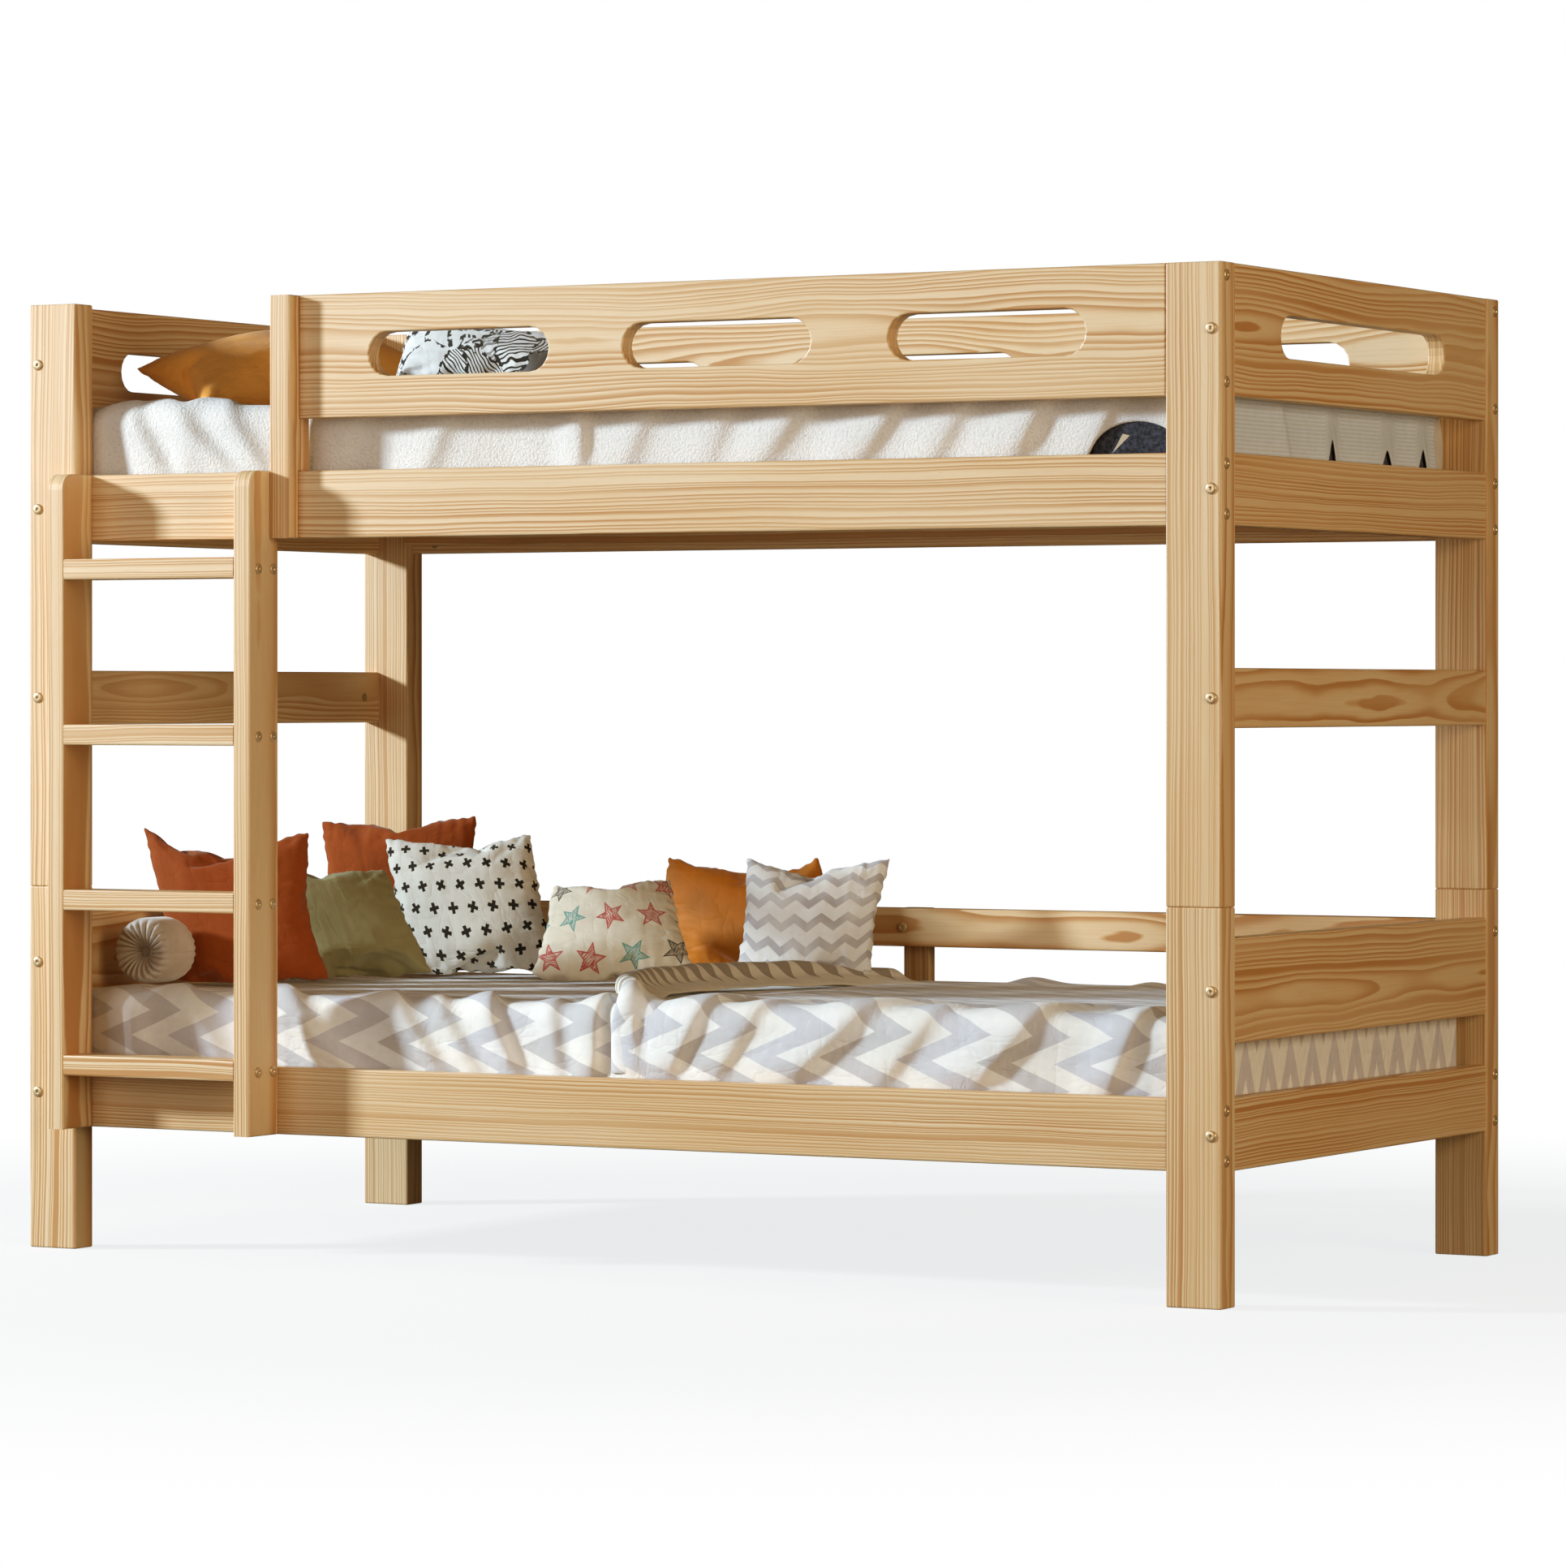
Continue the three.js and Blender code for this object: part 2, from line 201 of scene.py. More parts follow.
def newMaterial(name, **sockets):
    material = bpy.data.materials.new(name)
    material.use_nodes = True
    tree = material.node_tree
    shader = tree.nodes["Principled BSDF"]
    for key, value in sockets.items():
        shader.inputs[key.replace("_", " ")].default_value = value
    return material, tree, shader


def addBump(tree, shader, height, strength, distance):
    bump = put(tree, "ShaderNodeBump", {"Strength": strength, "Distance": distance, "Height": height})
    tree.links.new(bump.outputs[0], shader.inputs["Normal"])


# ---- pine: growth rings cut by the board, fibres and resin flecks ----
pineLooks = {
    "light": "f7dcb6", "mid": "e7bd8a", "line": "c4854a", "ringSpacing": 0.0062,
    "roughness": 0.42, "coat": 0.12, "lineStrength": 0.85,
}


def buildPineGroup():
    tree, given, out = newGroup("pineGrain", [
        ("Vector", "Vector", None), ("Pith", "Vector", (0, 0.02, 0.09)), ("Spacing", "Float", 0.006),
        ("Wander", "Float", 0.012), ("Line Strength", "Float", 0.8), ("Light", "Color", (1, 1, 1, 1)),
        ("Mid", "Color", (1, 1, 1, 1)), ("Line", "Color", (1, 1, 1, 1)),
    ], [("Color", "Color"), ("Height", "Float"), ("Gloss", "Float")])
    place = given["Vector"]
    slow = noiseAt(tree, place, 1.0, 2.0, 0.45, (1.6, 5.0, 5.0))
    swing = calcVector(tree, "SUBTRACT", slow.outputs["Color"], (0.5, 0.5, 0.5))
    shift = put(tree, "ShaderNodeVectorMath", {0: swing, "Scale": given["Wander"]}, operation="SCALE")
    quick = noiseAt(tree, place, 1.0, 2.0, 0.5, (7.0, 26.0, 26.0))
    shiver = calcVector(tree, "MULTIPLY", calcVector(
        tree, "SUBTRACT", quick.outputs["Color"], (0.5, 0.5, 0.5)), (0.0, 0.0035, 0.0035))
    moved = calcVector(tree, "ADD", calcVector(tree, "ADD", place, given["Pith"]),
                       calcVector(tree, "ADD", shift.outputs[0], shiver))
    radius = calcVector(tree, "LENGTH", calcVector(tree, "MULTIPLY", moved, (0.0, 1.0, 1.0)))
    years = put(tree, "ShaderNodeTexNoise", {"W": radius, "Scale": 55.0, "Detail": 1.0},
                noise_dimensions="1D").outputs["Fac"]
    rings = calc(tree, "ADD", calc(tree, "DIVIDE", radius, given["Spacing"]),
                 calc(tree, "MULTIPLY", years, 3.2))
    part = calc(tree, "FRACT", rings)
    late = calc(tree, "MULTIPLY", step(tree, part, 0.25, 0.86), step(tree, part, 1.0, 0.93))
    early = step(tree, part, 0.0, 0.75)
    bold = step(tree, noiseAt(tree, place, 1.0, 1.0, 0.5, (1.2, 16.0, 16.0)).outputs["Fac"], 0.3, 0.68,
                0.35, 1.0)
    late = calc(tree, "MULTIPLY", calc(tree, "MULTIPLY", late, bold), given["Line Strength"])
    fibre = noiseAt(tree, place, 1.0, 3.0, 0.6, (9.0, 420.0, 420.0)).outputs["Fac"]
    cloud = noiseAt(tree, place, 1.0, 2.0, 0.5, (2.0, 9.0, 9.0)).outputs["Fac"]
    fleck = step(tree, noiseAt(tree, place, 1.0, 1.0, 0.5, (45.0, 900.0, 900.0)).outputs["Fac"], 0.66, 0.8)
    body = blendColor(tree, calc(tree, "MULTIPLY", early, 0.45), given["Light"], given["Mid"])
    body = blendColor(tree, step(tree, cloud, 0.35, 0.75, 0.0, 0.4), body, given["Mid"])
    grain = blendColor(tree, late, body, given["Line"])
    grain = blendColor(tree, step(tree, fibre, 0.35, 0.75, 0.0, 0.16), grain, given["Line"])
    grain = blendColor(tree, calc(tree, "MULTIPLY", fleck, 0.25), grain, given["Line"])
    tree.links.new(grain, out["Color"])
    height = calc(tree, "ADD", calc(tree, "MULTIPLY", fibre, 0.6), calc(tree, "MULTIPLY", late, -0.35))
    tree.links.new(height, out["Height"])
    tree.links.new(calc(tree, "MULTIPLY_ADD", late, 0.1, calc(tree, "MULTIPLY", fibre, 0.12)), out["Gloss"])
    return tree


pineGroup = buildPineGroup()


def pineMaterial(name, centre, along, figure="straight", looks=pineLooks):
    # a board's own pine: centre is the middle of the board, along is x, y or z
    material, tree, shader = newMaterial(name, Coat_Weight=looks["coat"], Coat_Roughness=0.3)
    where = put(tree, "ShaderNodeTexCoord").outputs["Object"]
    local = calcVector(tree, "SUBTRACT", where, tuple(centre))
    split = put(tree, "ShaderNodeSeparateXYZ", {0: local}).outputs
    order = {"x": (0, 1, 2), "y": (1, 2, 0), "z": (2, 0, 1)}[along]
    turned = put(tree, "ShaderNodeCombineXYZ", {n: split[o] for n, o in enumerate(order)}).outputs[0]
    drift = (randomDraw.uniform(-40, 40), randomDraw.uniform(-5, 5), randomDraw.uniform(-5, 5))
    placed = calcVector(tree, "ADD", turned, drift)
    side = randomDraw.choice((-1, 1))
    across, through = randomDraw.uniform(-0.02, 0.02), side * randomDraw.uniform(0.05, 0.075)
    if figure == "straight":
        across, through = side * randomDraw.uniform(0.10, 0.16), randomDraw.uniform(0.01, 0.05)
    # the pith lies off the board's wide face for a cathedral figure, off its edge for straight lines
    thin, wide = {"x": (0, 1), "y": (1, 0), "z": (1, 0)}[along]
    pith = [-drift[0], -drift[1], -drift[2]]
    pith[1 + thin] += through
    pith[1 + wide] += across
    grain = useGroup(tree, pineGroup, {
        "Vector": placed, "Pith": pith, "Spacing": looks["ringSpacing"] * randomDraw.uniform(0.85, 1.2),
        "Wander": 0.05 if figure == "cathedral" else 0.022, "Line Strength": looks["lineStrength"],
        "Light": tint(looks["light"]), "Mid": tint(looks["mid"]), "Line": tint(looks["line"]),
    })
    tree.links.new(grain["Color"], shader.inputs["Base Color"])
    rough = calc(tree, "ADD", grain["Gloss"], looks["roughness"] - 0.06)
    tree.links.new(rough, shader.inputs["Roughness"])
    addBump(tree, shader, grain["Height"], 0.25, 0.0006)
    return material


slotOf = {part["node"]: part["material_slot"] for part in frame["record"]["subparts"]}


def finishTimbers():
    figures = {"end_board": "cathedral", "front_guard": "cathedral", "back_guard_rail": "cathedral",
               "mid_rail": "cathedral"}
    for name in sorted(nodes):
        if slotOf[name] != "pine":
            continue
        low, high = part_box(name)
        size = high - low
        along = "xyz"[max(range(3), key=lambda n: size[n])]
        figure = next((kind for key, kind in figures.items() if key in name), "straight")
        material = pineMaterial("pine_" + name, (low + high) / 2, along, figure)
        nodes[name].data.materials.clear()
        nodes[name].data.materials.append(material)


# ---- mesh helpers ----
def linkObject(name, mesh, body, replaces=(), material=None, smoothFaces=True):
    piece = bpy.data.objects.new(name, mesh)
    scene.collection.objects.link(piece)
    if material:
        piece.data.materials.clear()
        piece.data.materials.append(material)
    if smoothFaces:
        for face in mesh.polygons:
            face.use_smooth = True
    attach(piece, body)
    if replaces:
        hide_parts(*replaces)
    return piece


def meshFrom(name, points, faces, uvs=None):
    mesh = bpy.data.meshes.new(name)
    mesh.from_pydata([tuple(p) for p in points], [], faces)
    if uvs:
        layer = mesh.uv_layers.new(name="cloth")
        for loop in mesh.loops:
            layer.data[loop.index].uv = uvs[loop.vertex_index]
    mesh.validate()
    mesh.update()
    return mesh


def sweep(points, radius, sides, closed):
    # a round tube along points; returns points and faces
    count, ring, faces = len(points), [], []
    for n, point in enumerate(points):
        before = points[(n - 1) % count] if closed or n else point
        after = points[(n + 1) % count] if closed or n < count - 1 else point
        forward = (after - before).normalized()
        aside = forward.cross(Vector((0, 0, 1)))
        aside = aside.normalized() if aside.length > 1e-4 else Vector((1, 0, 0))
        up = aside.cross(forward).normalized()
        for k in range(sides):
            angle = 2 * math.pi * k / sides
            ring.append(point + (aside * math.cos(angle) + up * math.sin(angle)) * radius)
    for n in range(count if closed else count - 1):
        after = (n + 1) % count
        for k in range(sides):
            k2 = (k + 1) % sides
            faces.append((n * sides + k, n * sides + k2, after * sides + k2, after * sides + k))
    if not closed:
        faces += [tuple(range(sides)), tuple(reversed(range((count - 1) * sides, count * sides)))]
    return ring, faces


def outline(low, high, radius, corner=8, straight=0.05):
    # points round a rectangle with round corners
    points = []
    centres = [(high.x - radius, low.y + radius, -90), (high.x - radius, high.y - radius, 0),
               (low.x + radius, high.y - radius, 90), (low.x + radius, low.y + radius, 180)]
    for n, (x, y, start) in enumerate(centres):
        for k in range(corner + 1):
            angle = math.radians(start + 90 * k / corner)
            points.append(Vector((x + radius * math.cos(angle), y + radius * math.sin(angle), 0)))
        nextX, nextY, nextStart = centres[(n + 1) % 4]
        angle = math.radians(nextStart)
        end = Vector((nextX + radius * math.cos(angle), nextY + radius * math.sin(angle), 0))
        steps = max(1, round((end - points[-1]).length / straight))
        begin = points[-1]
        points += [begin.lerp(end, k / steps) for k in range(1, steps)]
    return points


def applyModifiers(piece):
    graph = bpy.context.evaluated_depsgraph_get()
    mesh = bpy.data.meshes.new_from_object(piece.evaluated_get(graph))
    piece.modifiers.clear()
    old, piece.data = piece.data, mesh
    bpy.data.meshes.remove(old)
    return piece


# ---- bolts and barrel nuts, placed by geometry nodes ----
boltSizes = {"radius": 0.0086, "rise": 0.0027, "socket": 0.0023, "socketDepth": 0.0022, "sides": 24}
nutSizes = {"radius": 0.0072, "rise": 0.0006, "slotHalf": (0.0046, 0.0008), "sides": 24}
endX, sideY = 0.016, 0.017  # bolt centres in from the outer faces, at the ends and at the sides


def headMesh(name, rings, inner, floor):
    # rings are (radius, height) from outside to inside, inner gives the socket outline at an angle
    sides = boltSizes["sides"]
    points, faces, rows = [], [], []
    for radius, height in rings:
        rows.append([(radius * math.cos(2 * math.pi * k / sides), radius * math.sin(2 * math.pi * k / sides),
                      height) for k in range(sides)])
    for height in (rings[-1][1], floor):
        row = []
        for k in range(sides):
            angle = 2 * math.pi * k / sides
            x, y = inner(angle)
            row.append((x, y, height))
        rows.append(row)
    for row in rows:
        points += row
    for r in range(len(rows) - 1):
        for k in range(sides):
            k2 = (k + 1) % sides
            faces.append((r * sides + k, r * sides + k2, (r + 1) * sides + k2, (r + 1) * sides + k))
    last = (len(rows) - 1) * sides
    faces.append(tuple(range(last, last + sides)))
    faces.append(tuple(reversed(range(sides))))
    return meshFrom(name, points, faces)


def hexAt(angle):
    reach = boltSizes["socket"] / math.cos((angle % (math.pi / 3)) - math.pi / 6)
    return reach * math.cos(angle), reach * math.sin(angle)


def slotAt(angle):
    long, wide = nutSizes["slotHalf"]
    c, s = math.cos(angle), math.sin(angle)
    scale = 1 / ((abs(c) ** 6 + abs(s / 0.6) ** 6) ** (1 / 6))
    return long * c * scale, wide * max(-1, min(1, s * scale / 0.6))


def boltShape():
    radius, rise = boltSizes["radius"], boltSizes["rise"]
    rings = [(radius * 0.9, -0.0008), (radius * 0.98, 0.0), (radius, 0.0007), (radius * 0.93, rise * 0.62),
             (radius * 0.75, rise * 0.9), (radius * 0.5, rise), (radius * 0.38, rise)]
    return headMesh("boltShape", rings, hexAt, rise - boltSizes["socketDepth"])


def nutShape():
    radius, rise = nutSizes["radius"], nutSizes["rise"]
    rings = [(radius, -0.0006), (radius, rise * 0.5), (radius * 0.93, rise), (radius * 0.72, rise)]
    return headMesh("nutShape", rings, slotAt, rise - 0.001)


def scatterTree(name):
    # geometry nodes: one head on every point, facing the point's own direction
    tree = bpy.data.node_groups.new(name, "GeometryNodeTree")
    face = tree.interface
    face.new_socket(name="Geometry", in_out="INPUT", socket_type="NodeSocketGeometry")
    face.new_socket(name="Head", in_out="INPUT", socket_type="NodeSocketObject")
    face.new_socket(name="Head Scale", in_out="INPUT", socket_type="NodeSocketFloat").default_value = 1.0
    face.new_socket(name="Seed", in_out="INPUT", socket_type="NodeSocketInt").default_value = 3
    face.new_socket(name="Material", in_out="INPUT", socket_type="NodeSocketMaterial")
    face.new_socket(name="Geometry", in_out="OUTPUT", socket_type="NodeSocketGeometry")
    given, out = tree.nodes.new("NodeGroupInput").outputs, tree.nodes.new("NodeGroupOutput")
    head = put(tree, "GeometryNodeObjectInfo", {"Object": given["Head"]}, transform_space="ORIGINAL")
    facing = put(tree, "GeometryNodeInputNamedAttribute", {"Name": "facing"}, data_type="FLOAT_VECTOR")
    aim = put(tree, "FunctionNodeAlignRotationToVector", {"Vector": facing.outputs[0]}, axis="Z")
    roll = put(tree, "FunctionNodeRandomValue", {2: 0.0, 3: math.tau, "Seed": given["Seed"]},
               data_type="FLOAT")
    turn = put(tree, "FunctionNodeAxisAngleToRotation", {"Axis": (0, 0, 1), "Angle": roll.outputs[1]})
    both = put(tree, "FunctionNodeRotateRotation", {0: aim.outputs[0], 1: turn.outputs[0]},
               rotation_space="LOCAL")
    spread = put(tree, "GeometryNodeInstanceOnPoints", {
        "Points": given["Geometry"], "Instance": head.outputs["Geometry"], "Rotation": both.outputs[0],
        "Scale": given["Head Scale"]})
    real = put(tree, "GeometryNodeRealizeInstances", {0: spread.outputs[0]})
    paint = put(tree, "GeometryNodeSetMaterial", {"Geometry": real.outputs[0], "Material": given["Material"]})
    tree.links.new(paint.outputs[0], out.inputs[0])
    return tree


def bake(name, tree, values, source=None):
    # runs a geometry nodes tree on source, or on an empty mesh, and returns the plain mesh
    holder = bpy.data.objects.new(name + "Maker", source or bpy.data.meshes.new(name))
    scene.collection.objects.link(holder)
    modifier = holder.modifiers.new("maker", "NODES")
    modifier.node_group = tree
    for item in tree.interface.items_tree:
        if item.item_type == "SOCKET" and item.in_out == "INPUT" and item.name in values:
            modifier[item.identifier] = values[item.name]
    graph = bpy.context.evaluated_depsgraph_get()
    mesh = bpy.data.meshes.new_from_object(holder.evaluated_get(graph))
    mesh.name = name
    holder.modifiers.clear()
    bpy.data.objects.remove(holder)
    return mesh


def pointMesh(spots):
    mesh = bpy.data.meshes.new("spots")
    mesh.from_pydata([tuple(place) for place, facing in spots], [], [])
    layer = mesh.attributes.new("facing", "FLOAT_VECTOR", "POINT")
    for n, (place, facing) in enumerate(spots):
        layer.data[n].vector = facing
    return mesh


def middleOf(name):
    low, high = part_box(name)
    return (low.z + high.z) / 2


def boltHeights(name, margin):
    low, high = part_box(name)
    return (low.z + margin, high.z - margin)


def boltSpots():
    # bolt heads on the outer faces of the posts and the ladder, by body
    spots = {"lower_bunk": [], "upper_bunk": []}
    ends = [("lower_bunk", "lower_left_end_rail"), ("lower_bunk", "lower_left_end_board"),
            ("upper_bunk", "left_mid_rail"), ("upper_bunk", "upper_left_end_rail"),
            ("upper_bunk", "upper_left_end_board")]
    for body, board in ends:
        for x in (bedLeft + endX, bedRight - endX):
            spots[body].append(((x, bedFront, middleOf(board)), (0, -1, 0)))
            spots[body].append(((x, bedBack, middleOf(board)), (0, 1, 0)))
    sides = [("lower_bunk", "lower_front_rail", bedFront + sideY),
             ("lower_bunk", "lower_back_rail", bedBack - sideY),
             ("upper_bunk", "upper_front_rail", bedFront + sideY),
             ("upper_bunk", "upper_back_rail", bedBack - sideY),
             ("upper_bunk", "upper_front_guard_rail", bedFront + sideY),
             ("upper_bunk", "upper_back_guard_rail", bedBack - sideY)]
    for body, board, y in sides:
        for z in boltHeights(board, 0.019 if "guard" in board else 0.016):
            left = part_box("guard_post")[0].x if board == "upper_front_guard_rail" else bedLeft
            spots[body].append(((left, y, z), (-1, 0, 0)))
            spots[body].append(((bedRight, y, z), (1, 0, 0)))
    guardZ = boltHeights("lower_back_guard_rail", 0.019)[1]
    for x, facing in ((bedLeft, -1), (bedRight, 1)):
        spots["lower_bunk"].append(((x, bedBack - sideY, guardZ), (facing, 0, 0)))
    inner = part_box("lower_back_guard_rail")[0].y
    for z in (middleOf("lower_back_guard_rail"), middleOf("lower_back_rail") + 0.02):
        spots["lower_bunk"].append((((bedLeft + bedRight) / 2, inner, z), (0, -1, 0)))
    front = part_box("ladder_right_stile")[0].y
    for rung in range(1, 5):
        for inset in (0.023, 0.063):
            z = middleOf(f"ladder_rung_{rung}") - 0.002
            spots["upper_bunk"].append(((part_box("ladder_right_stile")[1].x, front + inset, z), (1, 0, 0)))
            spots["upper_bunk"].append(((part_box("ladder_left_stile")[0].x, front + inset, z), (-1, 0, 0)))
    return spots


def nutSpots():
    # barrel nuts on the inner faces of rails and boards, near their ends
    spots = {"lower_bunk": [], "upper_bunk": []}
    inset = 0.045
    for name in nodes:
        if slotOf[name] != "pine" or not name.endswith(("_rail", "_board")):
            continue
        low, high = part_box(name)
        body = "lower_bunk" if name.startswith("lower") else "upper_bunk"
        middle = (low + high) / 2
        margin = 0.019 if "guard" in name else 0.016
        if high.x - low.x > high.y - low.y:
            inward = 1 if middle.y < 0.02 else -1
            face = high.y if inward > 0 else low.y
            heights = (low.z + margin, high.z - margin) if high.z - low.z > 0.07 else (middle.z,)
            for z in heights:
                for x in (low.x + inset, high.x - inset):
                    spots[body].append(((x, face, z), (0, inward, 0)))
        else:
            inward = 1 if middle.x < 0 else -1
            face = high.x if inward > 0 else low.x
            for y in (low.y + inset, high.y - inset):
                spots[body].append(((face, y, middle.z), (inward, 0, 0)))
    return spots


def metalMaterial(name, code, roughness):
    material, tree, shader = newMaterial(name, Metallic=0.5)
    where = put(tree, "ShaderNodeTexCoord").outputs["Object"]
    scuffs = noiseAt(tree, where, 900.0, 3.0, 0.6).outputs["Fac"]
    tone = blendColor(tree, step(tree, scuffs, 0.35, 0.75, 0.0, 0.5), tint(code), tint("6d5a44"))
    tree.links.new(tone, shader.inputs["Base Color"])
    tree.links.new(calc(tree, "MULTIPLY_ADD", scuffs, 0.2, roughness), shader.inputs["Roughness"])
    addBump(tree, shader, scuffs, 0.2, 0.0001)
    return material


def buildFixings():
    tree = scatterTree("fixingScatter")
    kinds = [("bolts", boltShape(), boltSpots(), metalMaterial("boltMetal", "ecd0a8", 0.26), 5),
             ("barrel_nuts", nutShape(), nutSpots(), metalMaterial("nutMetal", "b7a585", 0.3), 8)]
    for kind, shape, spots, material, seed in kinds:
        head = bpy.data.objects.new(kind + "Head", shape)
        scene.collection.objects.link(head)
        for body, places in spots.items():
            mesh = bake(body + "_" + kind, tree, {"Head": head, "Head Scale": 1.0, "Seed": seed,
                                                  "Material": material}, pointMesh(places))
            linkObject(body + "_" + kind, mesh, body)
        bpy.data.objects.remove(head)
    print("fixings placed")


# ---- slats and their tapes ----
slatLooks = {"count": 14, "width": 0.072, "thickness": 0.018, "round": 0.003, "tapeWidth": 0.022,
             "tapeShares": (0.2, 0.8)}


def slatTree():
    tree = bpy.data.node_groups.new("slatRow", "GeometryNodeTree")
    face = tree.interface
    for label, value in (("Length", 0.944), ("Width", 0.072), ("Thickness", 0.018), ("Round", 0.003),
                         ("Pitch", 0.139)):
        face.new_socket(name=label, in_out="INPUT", socket_type="NodeSocketFloat").default_value = value
    face.new_socket(name="Count", in_out="INPUT", socket_type="NodeSocketInt").default_value = 14
    face.new_socket(name="Start", in_out="INPUT", socket_type="NodeSocketVector")
    face.new_socket(name="Material", in_out="INPUT", socket_type="NodeSocketMaterial")
    face.new_socket(name="Geometry", in_out="OUTPUT", socket_type="NodeSocketGeometry")
    given, out = tree.nodes.new("NodeGroupInput").outputs, tree.nodes.new("NodeGroupOutput")
    reach = put(tree, "ShaderNodeCombineXYZ", {1: given["Length"]})
    line = put(tree, "GeometryNodeCurvePrimitiveLine", {"Start": (0, 0, 0), "End": reach.outputs[0]})
    section = put(tree, "GeometryNodeCurvePrimitiveQuadrilateral", {0: given["Width"], 1: given["Thickness"]})
    rounded = put(tree, "GeometryNodeFilletCurve", {"Curve": section.outputs[0], "Count": 3,
                                                    "Radius": given["Round"]}, mode="POLY")
    slat = put(tree, "GeometryNodeCurveToMesh", {
        "Curve": line.outputs[0], "Profile Curve": rounded.outputs[0], "Fill Caps": True})
    pace = put(tree, "ShaderNodeCombineXYZ", {0: given["Pitch"]})
    row = put(tree, "GeometryNodeMeshLine", {"Count": given["Count"], "Start Location": given["Start"],
                                             "Offset": pace.outputs[0]}, mode="OFFSET")
    spread = put(tree, "GeometryNodeInstanceOnPoints", {
        "Points": row.outputs[0], "Instance": slat.outputs[0]})
    real = put(tree, "GeometryNodeRealizeInstances", {0: spread.outputs[0]})
    paint = put(tree, "GeometryNodeSetMaterial", {"Geometry": real.outputs[0], "Material": given["Material"]})
    tree.links.new(paint.outputs[0], out.inputs[0])
    return tree


def buildSlats():
    tree = slatTree()
    wood = pineMaterial("slatPine", (0, 0, 0.2), "y", "straight", dict(pineLooks, coat=0.0, roughness=0.6))
    tape = weaveMaterial("slatTape", "d8d2c4", threads=900, useUv=False)
    for bunk in ("lower", "upper"):
        low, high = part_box(bunk + "_slat_roll")
        pitch = (high.x - low.x - slatLooks["width"]) / (slatLooks["count"] - 1)
        start = (low.x + slatLooks["width"] / 2, low.y, low.z + slatLooks["thickness"] / 2)
        mesh = bake(bunk + "_slats", tree, {
            "Length": high.y - low.y, "Width": slatLooks["width"], "Thickness": slatLooks["thickness"],
            "Round": slatLooks["round"], "Pitch": pitch, "Count": slatLooks["count"], "Start": start,
            "Material": wood})
        linkObject(bunk + "_slats", mesh, bunk + "_bunk", [bunk + "_slat_roll"],
                   smoothFaces=False)
        points, faces = [], []
        half = slatLooks["tapeWidth"] / 2
        top = low.z + slatLooks["thickness"]
        for share in slatLooks["tapeShares"]:
            middle = low.y + (high.y - low.y) * share
            base = len(points)
            steps = 60
            for n in range(steps + 1):
                x = low.x + 0.006 + (high.x - low.x - 0.012) * n / steps
                onSlat = ((x - low.x) % pitch) < slatLooks["width"]
                sag = 0.0 if onSlat else -0.0018
                for y, z in ((middle - half, 0.0002), (middle + half, 0.0002), (middle + half, 0.0009),
                             (middle - half, 0.0009)):
                    points.append((x, y, top + z + sag))
            for n in range(steps):
                a = base + n * 4
                for k in range(4):
                    k2 = (k + 1) % 4
                    faces.append((a + k, a + 4 + k, a + 4 + k2, a + k2))
            faces += [(base, base + 1, base + 2, base + 3)]
            end = base + steps * 4
            faces += [(end + 3, end + 2, end + 1, end)]
        mesh = meshFrom(bunk + "_slat_tapes", points, faces)
        linkObject(bunk + "_slat_tapes", mesh, bunk + "_bunk", material=tape, smoothFaces=False)
    print("slats laid")


# ---- cloth materials ----
def buildWeaveGroup():
    tree, given, out = newGroup("plainWeave", [("Vector", "Vector", None), ("Threads", "Float", 900.0),
                                               ("Slub", "Float", 0.4)],
                                [("Height", "Float"), ("Shade", "Float")])
    split = put(tree, "ShaderNodeSeparateXYZ", {0: given["Vector"]}).outputs
    waves = []
    for n in (0, 1):
        angle = calc(tree, "MULTIPLY", calc(tree, "MULTIPLY", split[n], given["Threads"]), math.tau)
        waves.append(calc(tree, "SINE", angle))
    product = calc(tree, "MULTIPLY", waves[0], waves[1])
    slub = noiseAt(tree, given["Vector"], 60.0, 3.0, 0.6).outputs["Fac"]
    fuzz = noiseAt(tree, given["Vector"], 1400.0, 2.0, 0.6).outputs["Fac"]
    height = calc(tree, "ADD", calc(tree, "MULTIPLY", product, 0.35), calc(tree, "MULTIPLY", fuzz, 0.5))
    height = calc(tree, "ADD", height, calc(tree, "MULTIPLY", slub, given["Slub"]))
    tree.links.new(height, out["Height"])
    shade = calc(tree, "MULTIPLY_ADD", product, 0.04, calc(tree, "MULTIPLY_ADD", slub, 0.16, 0.9))
    tree.links.new(shade, out["Shade"])
    return tree


weaveGroup = buildWeaveGroup()


def buildCreaseGroup():
    tree, given, out = newGroup("softCreases", [("Vector", "Vector", None), ("Size", "Float", 9.0)],
                                [("Height", "Float")])
    bend = noiseAt(tree, given["Vector"], 5.0, 1.0).outputs["Color"]
    place = calcVector(tree, "ADD", given["Vector"], calcVector(tree, "MULTIPLY", bend, (0.10, 0.10, 0.10)))
    heights = []
    for stretch, share in (((1.0, 2.6, 1.0), 0.6), ((2.4, 0.9, 1.4), 0.4)):
        cloud = put(tree, "ShaderNodeTexNoise", {
            "Vector": calcVector(tree, "MULTIPLY", place, stretch), "Scale": given["Size"], "Detail": 3.0,
            "Roughness": 0.5}).outputs["Fac"]
        ridge = calc(tree, "ABSOLUTE", calc(tree, "SUBTRACT", cloud, 0.5))
        sharpened = calc(tree, "POWER", calc(tree, "MULTIPLY", ridge, 4.0), 0.6)
        heights.append(calc(tree, "MULTIPLY", sharpened, share))
    tree.links.new(calc(tree, "ADD", heights[0], heights[1]), out["Height"])
    return tree


creaseGroup = buildCreaseGroup()


